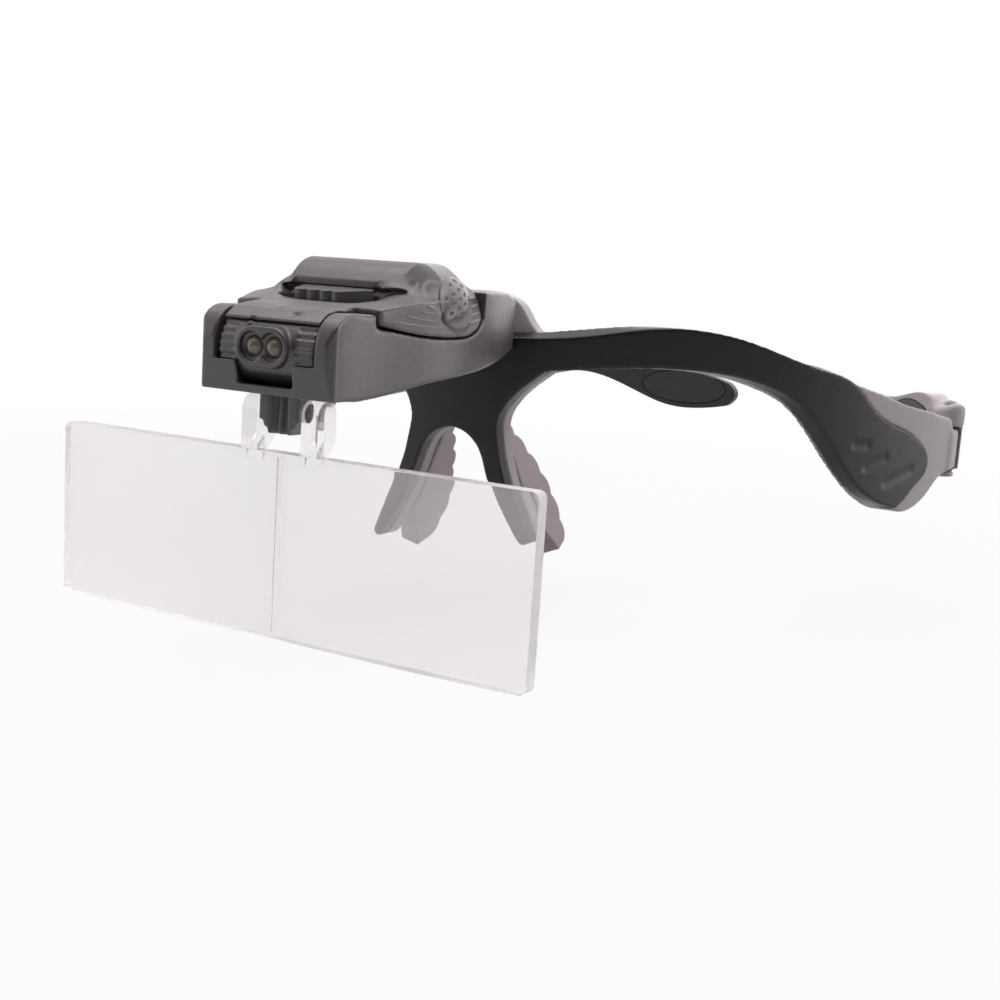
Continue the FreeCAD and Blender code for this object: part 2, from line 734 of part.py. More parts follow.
# Barrel: drum between the cheeks, with the boss, its figure-of-eight recess and grip grooves
def makeBarrel():
    body = newBody("led_barrel")
    drum = newSketch(body, "YZ_Plane")
    drawCircle(drum, (barrelBack, barrelRise), barrelRadius)
    pad(body, drum, barrelHalf * 2, both=True)
    boss = newSketch(body, "XZ_Plane", -barrelBack)
    top = ledRise + bossRound
    bottom = ledRise - bossRound
    corners = [(-ledSpread, bottom), (ledSpread, bottom), (ledSpread, top), (-ledSpread, top)]
    outer = ledSpread + bossRound
    drawOutline(boss, corners, {1: (outer, ledRise), 3: (-outer, ledRise)})
    pad(body, boss, bossReach)
    for side in (-1, 1):
        hole = newSketch(body, "XZ_Plane", bossReach - barrelBack)
        drawCircle(hole, (ledSpread * side, ledRise), ledRadius + recessDepth * 0.7)
        pocket(body, hole, recessDepth)
    for side in (-1, 1):
        seat = newSketch(body, "XZ_Plane", bossReach - barrelBack)
        drawCircle(seat, (ledSpread * side, ledRise), ledRadius)
        pocket(body, seat, ledDepth)
    bore = newSketch(body, "YZ_Plane")
    drawCircle(bore, (barrelBack, barrelRise), axleRadius + runGap)
    pocket(body, bore, cheekInner * 2, both=True)
    reach = barrelRadius + overrun
    for side in (-1, 1):
        left = armInner - fitGap if side > 0 else -armInner - armWidth - fitGap
        slot = newSketch(body, "YZ_Plane", left)
        drawOutline(slot, [
            (barrelBack, barrelRise), (barrelBack - reach * 0.55, barrelRise - reach),
            (barrelBack + reach, barrelRise - reach), (barrelBack + reach, barrelRise + reach),
            (barrelBack, barrelRise + reach),
        ])
        pocket(body, slot, armWidth + fitGap * 2, backward=True)
        eye = newSketch(body, "YZ_Plane", left)
        drawCircle(eye, (barrelBack, barrelRise), armRound + fitGap)
        pocket(body, eye, armWidth + fitGap * 2, backward=True)
    for index in range(grooveCount):
        angle = math.radians(180 + grooveStep * (index - (grooveCount - 1) / 2))
        centre = (barrelBack + barrelRadius * math.cos(angle), barrelRise + barrelRadius * math.sin(angle))
        for side in (-1, 1):
            left = barrelHalf - gripWidth if side > 0 else -barrelHalf
            groove = newSketch(body, "YZ_Plane", left)
            drawCircle(groove, centre, gripCut)
            pocket(body, groove, gripWidth, backward=True)
    finish(body, "led_barrel")


def makeLeds():
    for name, side in (("led_left", 1), ("led_right", -1)):
        radius = ledRadius - runGap
        front = barrelBack - bossReach
        start = (ledSpread * side, front + radius, ledRise)
        shank = rod(name + "_shank", axisY, start, radius, ledDepth - radius)
        dome = doc.addObject("Part::Sphere", name + "_dome")
        dome.setExpression("Radius", radius.text)
        dome.setExpression("Placement.Base.x", (ledSpread * side).text)
        dome.setExpression("Placement.Base.y", (front + radius).text)
        dome.setExpression("Placement.Base.z", ledRise.text)
        finish(combine("Fuse", name + "_whole", shank, dome), name)


def makeAxle():
    body = newBody("barrel_axle")
    sketch = newSketch(body, "YZ_Plane")
    drawCircle(sketch, (barrelBack, barrelRise), axleRadius)
    pad(body, sketch, (barrelHalf - fitGap) * 2, both=True)
    finish(body, "barrel_axle")


def makeCells():
    start = -cellThick * 1.5
    for index in range(3):
        name = "battery_" + str(index + 1)
        body = newBody(name)
        sketch = newSketch(body, "YZ_Plane", start + cellThick * index)
        drawCircle(sketch, (cellBack, cellRise), cellRadius)
        pad(body, sketch, cellThick * 0.9)
        cap = newSketch(body, "YZ_Plane", start + cellThick * index)
        drawCircle(cap, (cellBack, cellRise), cellRadius * 0.85)
        pad(body, cap, cellThick)
        finish(body, name)
    for name, side in (("contact_left", 1), ("contact_right", -1)):
        body = newBody(name)
        left = cellThick * 1.5 if side > 0 else -cellThick * 1.5 - contactThick
        sketch = newSketch(body, "YZ_Plane", left)
        half = cellRadius * 0.6
        drawOutline(sketch, rectangle(cellBack - half, cellRise - half, cellBack + half, cellRise + half))
        pad(body, sketch, contactThick)
        finish(body, name)


def makeSwitch():
    board = newBody("circuit_board")
    sketch = newSketch(board, "XY_Plane", trayTop)
    half = boardWidth / 2
    drawOutline(sketch, rectangle(-half, boardFront, half, boardFront + boardDepth))
    pad(board, sketch, boardThick)
    finish(board, "circuit_board")
    body = newBody("switch_body")
    base = newSketch(body, "XY_Plane", trayTop + boardThick)
    front = knobFront + stemInset - fitGap * 2
    back = boardFront + boardDepth
    drawOutline(base, rectangle(-boardWidth * 0.3, front - knobDepth * 0.4, boardWidth * 0.3, back))
    pad(body, base, switchHigh)
    finish(body, "switch_body")
    knob = newBody("switch_knob")
    outline = newSketch(knob, "XY_Plane", knobBase)
    right = knobWidth - knobLeft
    corners = []
    bows = {}
    for index in range(knobRibs):
        start = -knobLeft + knobPitch * index
        corners.append((start, knobFront))
        bows[index] = (start + knobPitch / 2, knobFront - knobBow)
    corners.append((-knobLeft + knobPitch * knobRibs, knobFront))
    corners.append((right + knobPoint, knobFront + knobDepth * 0.55))
    corners.append((right + knobPoint * 0.6, knobFront + knobDepth))
    corners.append((-knobLeft, knobFront + knobDepth))
    drawOutline(outline, corners, bows)
    pad(knob, outline, knobHeight)
    slope = newSketch(knob, "YZ_Plane")
    knobTop = knobBase + knobHeight
    drawOutline(slope, [
        (knobFront - knobDepth, knobTop - knobSlope * 1.6), (knobFront + knobDepth * 0.8, knobTop),
        (knobFront + knobDepth * 0.8, knobTop + overrun), (knobFront - knobDepth, knobTop + overrun),
    ])
    pocket(knob, slope, knobWidth * 3, both=True)
    stem = newSketch(knob, "XY_Plane", stemLow)
    quarter = knobWidth / 4
    stemBack = knobFront + knobDepth - stemInset
    drawOutline(stem, rectangle(-quarter, knobFront + stemInset, quarter, stemBack))
    pad(knob, stem, knobBase - stemLow)
    finish(knob, "switch_knob")


def makeScrews():
    parts = []
    low = bayFloor + fitGap + runGap
    for side in (-1, 1):
        start = (screwSide * side, screwBack, low)
        parts.append(rod("screw_shank", axisZ, start, screwRadius - runGap, trayTop + screwBite - low))
        parts.append(rod("screw_head", axisZ, start, screwHead - runGap * 2, screwRadius * 0.8))
    finish(combine("Fuse", "screws", *parts), "tray_screws")


# Front frame: an arched bar wrapped round the brow, fused to the bridge web and its two legs
browTopShares = (
    (0.0, 0.824), (0.045, 0.867), (0.121, 0.981), (0.181, 0.995), (0.272, 0.914), (0.408, 0.733),
)
lobeTopShares = (
    (0.408, 0.733), (0.491, 0.64), (0.551, 0.457), (0.595, 0.338), (0.64, 0.276), (0.702, 0.205),
    (0.758, 0.1), (0.79, -0.014), (0.785, -0.148), (0.745, -0.252), (0.698, -0.386), (0.671, -0.448),
)
darkBottomShares = (
    (0.671, -0.448), (0.62, -0.41), (0.561, -0.32), (0.512, -0.18), (0.454, 0.08), (0.404, 0.305),
    (0.36, 0.46), (0.317, 0.55), (0.226, 0.648), (0.123, 0.66), (0.059, 0.612), (0.0, 0.5),
)
linerTopShares = (
    (0.0, 0.75), (0.039, 0.79), (0.083, 0.835), (0.155, 0.945), (0.213, 0.965), (0.3, 0.885), (0.432, 0.705),
    (0.52, 0.605), (0.59, 0.54), (0.684, 0.448), (0.775, 0.395), (0.873, 0.343), (0.9275, 0.32),
)
linerEndShares = ((0.9275, 0.32), (0.9275, -0.17))
linerBottomShares = (
    (0.9275, -0.17), (0.879, -0.219), (0.817, -0.343), (0.761, -0.443), (0.698, -0.486), (0.65, -0.435),
    (0.61, -0.355), (0.565, -0.22), (0.502, 0.035), (0.45, 0.275), (0.405, 0.43), (0.36, 0.52),
    (0.265, 0.632), (0.18, 0.655), (0.06, 0.6), (0.0, 0.55),
)
webOuterShares = (
    (0.966, 0.571), (0.75, 0.424), (0.591, 0.276), (0.511, 0.124), (0.528, -0.043),
    (0.58, -0.238), (0.665, -0.438), (0.847, -0.819),
)
webTipShares = ((0.847, -0.819), (0.8, -0.87), (0.705, -0.8))
webInnerShares = ((0.705, -0.8), (0.557, -0.581), (0.42, -0.333), (0.335, -0.143), (0.193, -0.01))
webTopShares = ((0.4, 0.79), (0.966, 0.571))


def band(name, outer, inner):
    # A ring wall about the wearer's head, cut to its front half.
    low = -frameRise * 1.2
    height = frameRise * 2.6
    disc = rod(name + "_outer", axisZ, (zero, barCentre, low), outer, height)
    hole = rod(name + "_inner", axisZ, (zero, barCentre, low - overrun), inner, height + overrun * 2)
    return combine("Cut", name, disc, hole)


def webOutline(name):
    # The bridge web and its legs, pushed through both layers of the bar.
    spans = (cradleHalf, frameRise)
    origin = (zero, zero)
    outer = shared(webOuterShares, origin, spans)
    tip = shared(webTipShares, origin, spans)
    inner = shared(webInnerShares, origin, spans)
    saddle = inner[-1:] + [(zero, frameRise * 0.038)] + mirrored(inner)[:1]
    top = shared(webTopShares, origin, spans)
    runs = [("curve", outer), ("curve", tip), ("curve", inner), ("curve", saddle)]
    runs += [("curve", mirrored(inner)), ("curve", mirrored(tip)), ("curve", mirrored(outer))]
    runs += [("line", mirrored(top) + top)]
    return prism(name, "XZ", bridgeDepth - overrun, (darkThick + linerThick) * 3, runs)


def makeFrame():
    origin = (bridgeDepth, zero)
    spans = (frameDepth, frameRise)
    start = -barRadius - overrun
    length = (barRadius + overrun) * 2
    runs = [
        ("curve", shared(browTopShares[:-1] + lobeTopShares, origin, spans)),
        ("curve", shared(darkBottomShares, origin, spans)),
    ]
    side = prism("bar_side", "YZ", start, length, runs)
    layer = band("dark_band", barRadius, innerRadius)
    bar = combine("Common", "bar_dark", layer, side)
    web = combine("Common", "web_dark", layer, webOutline("web_front"))
    front = combine("Fuse", "frame_dark", bar, web)
    finish(front, "front_frame")


def makeLiner():
    origin = (bridgeDepth, zero)
    spans = (frameDepth, frameRise)
    start = -barRadius - overrun
    length = (barRadius + overrun) * 2
    runs = [
        ("curve", shared(linerTopShares, origin, spans)),
        ("line", shared(linerEndShares, origin, spans)),
        ("curve", shared(linerBottomShares, origin, spans)),
    ]
    side = prism("liner_side", "YZ", start, length, runs)
    layer = band("light_band", innerRadius - runGap, backRadius)
    bar = combine("Common", "bar_light", layer, side)
    web = combine("Common", "web_light", layer, webOutline("web_back"))
    half = crestHalf
    crestPoints = [
        (-half, frameRise * 0.6), (-half, frameRise * 0.85), (-half * 0.88, frameRise * 0.94),
        (-half * 0.72, frameRise * 1.1), (-half * 0.5, crestRise - edgeRound * 0.4), (zero, crestRise),
    ]
    crestPoints += mirrored(crestPoints)[1:]
    crestRuns = [("curve", crestPoints), ("line", [crestPoints[-1], crestPoints[0]])]
    crestBlock = prism("crest_block", "XZ", bridgeDepth, (darkThick + linerThick) * 3, crestRuns)
    crest = combine("Common", "crest", layer, crestBlock)
    # End blocks: the liner's full outline, as thick as both layers, behind the dark end panels
    blockSide = prism("block_side", "YZ", start, length, runs)
    blockBand = band("block_band", barRadius - edgeRound / 2, backRadius)
    blocks = combine("Common", "end_rings", blockBand, blockSide)
    reach = barRadius + overrun
    keepLow = (-reach, bridgeDepth + frameDepth * 0.49, -frameRise)
    keep = box("end_keep", keepLow, (reach, hingeBack, frameRise))
    ends = combine("Common", "end_blocks", blocks, keep)
    pieces = [bar, web, crest, ends]
    high = knuckleTop + knuckleBottom
    for side in (-1, 1):
        spotX = hingeHalf * side
        pieces.append(rod("hinge_tongue", axisZ, (spotX, hingeBack, -knuckleBottom), knuckleRadius, high))
        neck = (spotX - knuckleRadius, hingeBack - knuckleRadius * 2, -knuckleBottom)
        pieces.append(box("hinge_neck", neck, (spotX + knuckleRadius, hingeBack, knuckleTop)))
    body = combine("Fuse", "liner_body", *pieces)
    panel = prism("panel_side", "YZ", start, length, [
        ("curve", shared(browTopShares[:-1] + lobeTopShares, origin, spans)),
        ("curve", shared(darkBottomShares, origin, spans)),
    ])
    panelBand = band("panel_band", barRadius + overrun, innerRadius - runGap)
    panelCut = combine("Common", "panel_cut", panelBand, panel)
    tools = [panelCut]
    clear = hoodRadius + fitGap
    for side in (-1, 1):
        low = (hingeHalf * side, hingeBack, -frameRise)
        tools.append(rod("upper_gap", axisZ, (low[0], hingeBack, knuckleTop), clear, frameRise))
        tools.append(rod("lower_gap", axisZ, low, clear, frameRise - knuckleBottom))
        tools.append(rod("pin_bore", axisZ, low, hingePinRadius, frameRise * 2))
    liner = combine("Cut", "liner_cut", body, *tools)
    finish(liner, "frame_liner")


# Nose pads: soft fins behind the legs, with rounded ribs along the back edge
padBackShares = (
    (0.08, 0.0), (0.3, 0.13), (0.56, 0.27), (0.8, 0.43), (0.95, 0.6), (1.0, 0.79), (0.93, 0.95),
)


def makePads():
    for name, side in (("nose_pad_left", 1), ("nose_pad_right", -1)):
        body = newBody(name)
        sketch = newSketch(body, "YZ_Plane")
        corners = [(zero, -padLength * 0.62), (zero, zero)]
        bows = {}
        for index, (u, v) in enumerate(padBackShares):
            corners.append((padDepth * u, -padLength * v))
            if index:
                before = corners[-2]
                now = corners[-1]
                across = (now[1].value - before[1].value, now[0].value - before[0].value)
                reach = math.hypot(*across)
                bowX = (before[0] + now[0]) / 2 - padRib * (across[0] / reach)
                bowY = (before[1] + now[1]) / 2 + padRib * (across[1] / reach)
                bows[len(corners) - 2] = (bowX, bowY)
        corners.append((padDepth * 0.68, -padLength))
        corners.append((padDepth * 0.36, -padLength * 0.82))
        drawOutline(sketch, corners, bows)
        pad(body, sketch, padWidth, both=True)
        body.Placement = Placement(Vector(), Rotation(axisY, -splayAngle * side))
        slope = math.tan(math.radians(splayAngle))
        body.setExpression("Placement.Base.x", ((padLean - (padTop + padDrop) * slope) * side).text)
        body.setExpression("Placement.Base.y", (bridgeDepth + darkThick + linerThick).text)
        body.setExpression("Placement.Base.z", padTop.text)
        seat = band(name + "_seat", barRadius, backRadius - runGap)
        finish(combine("Cut", name + "_fitted", body, seat), name)


# Temples: tall root at the hinge, slim waist, and a drooping paddle inside the dark tip sleeve
templeTopShares = (
    (0.03, 0.39), (0.05, 0.462), (0.09, 0.49), (0.135, 0.476), (0.22, 0.405), (0.38, 0.362), (0.48, 0.385),
    (0.593, 0.45),
)
templeBottomShares = (
    (0.593, 0.352), (0.494, 0.248), (0.395, 0.162), (0.217, 0.0), (0.099, -0.15), (0.03, -0.229),
)
tipTopShares = ((0.593, 0.45), (0.711, 0.485), (0.83, 0.505), (0.929, 0.465), (0.983, 0.4))
tipEndShares = ((0.983, 0.4), (1.0, 0.295), (0.981, 0.171))
tipBottomShares = (
    (0.981, 0.171), (0.919, 0.12), (0.85, 0.12), (0.781, 0.21), (0.702, 0.333), (0.593, 0.352),
)
bowShares = ((0.0, 0.0), (0.25, 0.7), (0.5, 1.0), (0.75, 0.75), (1.0, 0.0))
thickShares = (1.0, 0.75, 0.6, 0.72, 0.62)


def templePlan(name, side, start, length):
    outer = []
    inner = []
    for (u, bow), thick in zip(bowShares, thickShares):
        centre = templeBow * bow
        outer.append(((centre + templeThick * (thick * 0.5)) * side, templeLength * u))
        inner.append(((centre - templeThick * (thick * 0.5)) * side, templeLength * u))
    runs = [("curve", outer), ("line", [outer[-1], inner[-1]])]
    runs += [("curve", inner[::-1]), ("line", [inner[0], outer[0]])]
    return prism(name, "XY", start, length, runs)


def oval(name, along, level, start, grow=zero):
    # An upright oval rod along X, for an inlay on the inner side of a temple.
    points = ring((along, level), (inlayLength + grow, inlayHeight + grow))
    return prism(name, "YZ", start, -start * 2, [("curve", points)])


def makeTemple(word, side, fold):
    origin = (zero, zero)
    spans = (templeLength, templeRise)
    reach = templeThick + templeBow * 2
    low = -templeRise
    plan = templePlan("temple_plan", side, low, templeRise * 2)
    armRuns = [
        ("curve", shared(templeTopShares, origin, spans)),
        ("line", shared((templeTopShares[-1], templeBottomShares[0]), origin, spans)),
        ("curve", shared(templeBottomShares, origin, spans)),
    ]
    armSide = prism("arm_side", "YZ", -reach, reach * 2, armRuns)
    armBlock = combine("Common", "arm_block", plan, armSide)
    upper = knuckleTop + fitGap
    lower = -(knuckleBottom + fitGap)
    half = templeThick / 2
    root = templeLength * 0.05
    ears = [
        rod("ear_top", axisZ, (zero, zero, upper), hoodRadius, earTop - upper),
        box("ear_top_web", (-half, zero, upper), (half, root, earTop)),
        rod("ear_bottom", axisZ, (zero, zero, -earBottom), knuckleRadius, earBottom + lower),
        box("ear_bottom_web", (-half, zero, -earBottom), (half, root, lower)),
    ]
    # Hood: a thin wall from the root round the outside of the frame's tongue
    shell = rod("hood_shell", axisZ, (zero, zero, lower), hoodRadius, upper - lower)
    hollow = rod("hood_hollow", axisZ, (zero, zero, lower), knuckleRadius + fitGap, upper - lower)
    wall = combine("Cut", "hood_ring", shell, hollow)
    wide = hoodRadius * 1.1
    plate = half / 2
    corners = [
        (-plate * side, zero), (zero, zero), (zero, -hoodRadius * 0.3), (wide * side, -hoodRadius * 0.3),
        (wide * side, wide), (-plate * side, wide), (-plate * side, zero),
    ]
    sector = prism("hood_sector", "XY", lower, upper - lower, [("line", corners)])
    hood = combine("Common", "hood", wall, sector)
    web = box("hood_web", (-plate, knuckleRadius + fitGap, lower), (plate, root, upper))
    arm = combine("Fuse", "arm_whole", armBlock, hood, web, *ears)
    tipRuns = [
        ("curve", shared(tipTopShares, origin, spans)),
        ("curve", shared(tipEndShares, origin, spans)),
        ("curve", shared(tipBottomShares, origin, spans)),
    ]
    tipSide = prism("tip_side", "YZ", -reach, reach * 2, tipRuns)
    tipBlock = combine("Common", "tip_block", plan, tipSide)
    bore = rod("knuckle_bore", axisZ, (zero, zero, -templeRise), hingePinRadius + runGap, templeRise * 2)
    pieces = []
    for kind, base, along, level in (
        ("root", arm, templeLength * 0.15, templeRise * 0.24),
        ("tip", tipBlock, templeLength * 0.883, templeRise * 0.32),
    ):
        through = oval(kind + "_oval", along, level, -reach)
        skin = combine("Common", kind + "_skin", base, through)
        core = templePlan(kind + "_core", side, low, templeRise * 2)
        core.setExpression("Placement.Base.x", (inlayDepth * side).text)
        inlay = combine("Cut", kind + "_inlay", skin, core)
        seatCore = templePlan(kind + "_seat_core", side, low, templeRise * 2)
        seatCore.setExpression("Placement.Base.x", ((inlayDepth + runGap) * side).text)
        seatRod = oval(kind + "_seat_oval", along, level, -reach, runGap * 2)
        seatSkin = combine("Common", kind + "_seat_skin", base, seatRod)
        seat = combine("Cut", kind + "_seat", seatSkin, seatCore)
        pocketed = combine("Cut", kind + "_pocketed", base, seat)
        pieces.append((kind, pocketed, inlay))
    finals = []
    for kind, pocketed, inlay in pieces:
        label = "temple_arm_" if kind == "root" else "temple_tip_"
        if kind == "root":
            pocketed = combine("Cut", "arm_bored", pocketed, bore)
        finals.append((pocketed, label + word))
        finals.append((inlay, kind + "_pad_" + word))
    for feature, name in finals:
        feature.Placement = Placement(Vector(), Rotation(axisZ, fold * side))
        feature.setExpression("Placement.Base.x", (hingeHalf * side).text)
        feature.setExpression("Placement.Base.y", hingeBack.text)
        finish(feature, name)
    pin = newBody("hinge_pin_" + word)
    sketch = newSketch(pin, "XY_Plane", -earBottom)
    drawCircle(sketch, (hingeHalf * side, hingeBack), hingePinRadius)
    pad(pin, sketch, earTop + earBottom)
    finish(pin, "hinge_pin_" + word)


makeLens()
makeHanger()
makeCradle()
makeCover()
makeTray()
makeBarrel()
makeLeds()
makeAxle()
makeCells()
makeSwitch()
makeScrews()
makeFrame()
makeLiner()
makePads()
makeTemple("left", 1, leftFold)
makeTemple("right", -1, rightFold)
doc.recompute()

for item in doc.Objects:
    if "Invalid" in item.State or "Error" in item.State:
        raise RuntimeError(item.Label + " failed: " + ", ".join(item.State))
for feature, name in finished:
    shape = feature.Shape
    if shape.isNull() or not shape.isValid() or not shape.Solids:
        raise RuntimeError(name + " has no valid solid")
    print(name, len(shape.Solids), "solids", round(shape.Volume, 1), "mm3")
    shape.exportStep("parts/" + name + ".step")
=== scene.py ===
import math
import bpy
import numpy
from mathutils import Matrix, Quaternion, Vector
from mathutils.bvhtree import BVHTree


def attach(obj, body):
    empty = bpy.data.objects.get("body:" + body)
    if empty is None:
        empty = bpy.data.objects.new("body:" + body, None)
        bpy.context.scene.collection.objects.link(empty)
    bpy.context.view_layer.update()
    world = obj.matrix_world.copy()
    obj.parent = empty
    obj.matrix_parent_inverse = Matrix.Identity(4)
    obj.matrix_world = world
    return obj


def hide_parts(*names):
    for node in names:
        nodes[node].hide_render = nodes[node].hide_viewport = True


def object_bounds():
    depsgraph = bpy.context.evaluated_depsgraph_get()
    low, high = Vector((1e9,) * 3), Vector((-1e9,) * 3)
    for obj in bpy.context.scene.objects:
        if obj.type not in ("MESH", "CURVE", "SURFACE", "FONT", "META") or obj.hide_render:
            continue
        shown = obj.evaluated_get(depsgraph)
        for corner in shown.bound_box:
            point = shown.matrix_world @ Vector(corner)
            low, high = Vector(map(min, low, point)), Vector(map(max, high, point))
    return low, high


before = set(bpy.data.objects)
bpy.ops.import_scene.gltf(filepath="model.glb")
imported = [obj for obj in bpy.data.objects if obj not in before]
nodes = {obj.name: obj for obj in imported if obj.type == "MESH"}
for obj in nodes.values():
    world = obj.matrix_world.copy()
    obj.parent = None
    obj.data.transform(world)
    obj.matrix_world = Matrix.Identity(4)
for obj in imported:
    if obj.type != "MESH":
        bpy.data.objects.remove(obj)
cadLow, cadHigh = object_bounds()
mm = 0.001
scene = bpy.context.scene
scene.view_settings.view_transform = "Standard"
print("frame loaded:", len(nodes), "nodes")


# Small helpers
def selectOnly(*pieces):
    bpy.ops.object.select_all(action="DESELECT")
    for piece in pieces:
        piece.select_set(True)
    bpy.context.view_layer.objects.active = pieces[0]


def keepPlace(piece):
    # The object ends at the origin and its place goes into the mesh
    selectOnly(piece)
    bpy.ops.object.transform_apply(location=True, rotation=True, scale=True)
    return piece


def applyModifier(piece, kind, **settings):
    modifier = piece.modifiers.new(kind.lower(), kind)
    for key, value in settings.items():
        setattr(modifier, key, value)
    selectOnly(piece)
    bpy.ops.object.modifier_apply(modifier=modifier.name)


def smoothShade(piece, degrees=40):
    selectOnly(piece)
    bpy.ops.object.shade_smooth_by_angle(angle=math.radians(degrees))


def copyNode(name, source):
    # A merged copy of a CAD node's mesh under a new name
    piece = bpy.data.objects.new(name, nodes[source].data.copy())
    scene.collection.objects.link(piece)
    selectOnly(piece)
    bpy.ops.object.mode_set(mode="EDIT")
    bpy.ops.mesh.select_all(action="SELECT")
    bpy.ops.mesh.remove_doubles(threshold=0.001 * mm)
    bpy.ops.object.mode_set(mode="OBJECT")
    # The file's own corner normals go, so that the new shading counts
    bpy.ops.mesh.customdata_custom_splitnormals_clear()
    return piece


def soften(piece, grid, passes):
    # Moulded look: an even fine mesh, then its edges are eased
    applyModifier(piece, "REMESH", mode="VOXEL", voxel_size=grid * mm)
    applyModifier(piece, "SMOOTH", factor=0.5, iterations=passes)
    selectOnly(piece)
    bpy.ops.object.shade_smooth()


def readSpots(piece):
    spots = numpy.empty(len(piece.data.vertices) * 3)
    piece.data.vertices.foreach_get("co", spots)
    return spots.reshape(-1, 3) / mm


def writeSpots(piece, spots):
    piece.data.vertices.foreach_set("co", (spots * mm).ravel())
    piece.data.update()


def otherSide(places):
    return [(-x, y, z) for x, y, z in places]


def bothSides(*strokes):
    # Each stroke, followed by its mirror image on the other side
    pairs = []
    for stroke in strokes:
        across, along, up = stroke["push"]
        pairs.append(stroke)
        pairs.append({**stroke, "path": otherSide(stroke["path"]), "push": (-across, along, up)})
    return pairs


def reachOf(spots, path):
    # How far each vertex lies from a line of points, and how far along the line
    best = numpy.full(len(spots), numpy.inf)
    share = numpy.zeros(len(spots))
    last = len(path) - 1
    for index in range(last):
        start = numpy.array(path[index], float)
        along = numpy.array(path[index + 1], float) - start
        where = numpy.clip((spots - start) @ along / (along @ along), 0, 1)
        gap = numpy.linalg.norm(spots - start - where[:, None] * along, axis=1)
        nearer = gap < best
        best[nearer] = gap[nearer]
        share[nearer] = (index + where[nearer]) / last
    return best, share


def press(piece, strokes):
    # Thumb strokes: each pushes the skin along a line. The width and depth may run from one value to another
    spots = readSpots(piece)
    for stroke in strokes:
        gap, share = reachOf(spots, stroke["path"])
        wide = numpy.interp(share, (0, 1), stroke["width"]) / 2
        deep = numpy.interp(share, (0, 1), stroke["depth"])
        fall = numpy.clip(1 - gap / wide, 0, 1)
        fall = fall * fall * (3 - 2 * fall)
        push = numpy.array(stroke["push"], float)
        spots += (fall * deep)[:, None] * push / numpy.linalg.norm(push)
    writeSpots(piece, spots)


def easeNear(piece, places, radius, passes):
    # Extra rounding close to some places, in four steps of strength
    steepness = 1.6
    step = 0.25
    spots = readSpots(piece)
    gaps = [numpy.linalg.norm(spots - numpy.array(place, float), axis=1) for place in places]
    weight = numpy.clip(steepness - steepness * numpy.min(gaps, axis=0) / radius, 0, 1)
    group = piece.vertex_groups.new(name="eased")
    for level in (step, 2 * step, 3 * step, 1.0):
        chosen = numpy.nonzero((weight > level - step) & (weight <= level))[0]
        group.add(chosen.tolist(), level, "REPLACE")
    applyModifier(piece, "SMOOTH", factor=0.5, iterations=passes, vertex_group="eased")
    piece.vertex_groups.remove(piece.vertex_groups["eased"])


def thinOut(piece, keep):
    applyModifier(piece, "DECIMATE", ratio=keep)
    selectOnly(piece)
    bpy.ops.object.shade_smooth()


def mirrorCopy(piece, name):
    # The same piece on the other side, with its faces still outwards
    other = bpy.data.objects.new(name, piece.data.copy())
    scene.collection.objects.link(other)
    spots = readSpots(other)
    spots[:, 0] *= -1
    writeSpots(other, spots)
    selectOnly(other)
    bpy.ops.object.mode_set(mode="EDIT")
    bpy.ops.mesh.select_all(action="SELECT")
    bpy.ops.mesh.flip_normals()
    bpy.ops.object.mode_set(mode="OBJECT")
    return other


def finishPiece(piece, body, finish, stands=()):
    piece.data.materials.clear()
    piece.data.materials.append(finish)
    keepPlace(piece)
    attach(piece, body)
    if stands:
        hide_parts(*stands)
    return piece


def cutAway(piece, tool):
    applyModifier(piece, "BOOLEAN", operation="DIFFERENCE", object=tool, solver="EXACT")
    bpy.data.objects.remove(tool)


def joinInto(piece, *others):
    selectOnly(piece, *others)
    bpy.ops.object.join()
    return piece


def addSocket(group, name, kind, output=False):
    group.interface.new_socket(name=name, in_out="OUTPUT" if output else "INPUT", socket_type="NodeSocket" + kind)


def wire(tree, *pairs):
    for start, end in pairs:
        tree.links.new(start, end)


def setInputs(node, values):
    for key, value in values.items():
        node.inputs[key].default_value = value


# A colour Mix has its two colours at inputs 6 and 7 and the result at output 2.
# A number Mix has its two values at inputs 2 and 3 and the result at output 0.
def addNode(tree, kind, **settings):
    made = tree.nodes.new("ShaderNode" + kind)
    for key, value in settings.items():
        if key in made.inputs:
            made.inputs[key].default_value = value
        else:
            setattr(made, key, value)
    return made


def addRange(tree, before=(0.0, 1.0), after=(0.0, 1.0), kind="LINEAR"):
    made = addNode(tree, "MapRange", interpolation_type=kind)
    setInputs(made, {"From Min": before[0], "From Max": before[1], "To Min": after[0], "To Max": after[1]})
    return made


def newMaterial(name):
    finish = bpy.data.materials.new(name)
    finish.use_nodes = True
    return finish, finish.node_tree, finish.node_tree.nodes["Principled BSDF"]


def rgb(red, green, blue):
    return (red, green, blue, 1.0)


# Shared effect: spark-eroded mould grain, slow mottling, rubbed edges and a little dust on top faces
mouldSockets = (
    ("Colour", "Color"), ("Rubbed", "Color"), ("Grain size", "Float"), ("Mottle", "Float"),
    ("Edge wear", "Float"), ("Rough low", "Float"), ("Rough high", "Float"), ("Dust", "Float"),
)
mouldLook = {
    "cloud scale": 90.0, "streak scale": 420.0, "pit share": 0.55, "cloud": (0.3, 0.7), "edge": (0.515, 0.58),
    "upward": (0.55, 1.0), "specks": (0.42, 0.75), "streak": (0.25, 0.75), "dust": rgb(0.42, 0.39, 0.38),
}


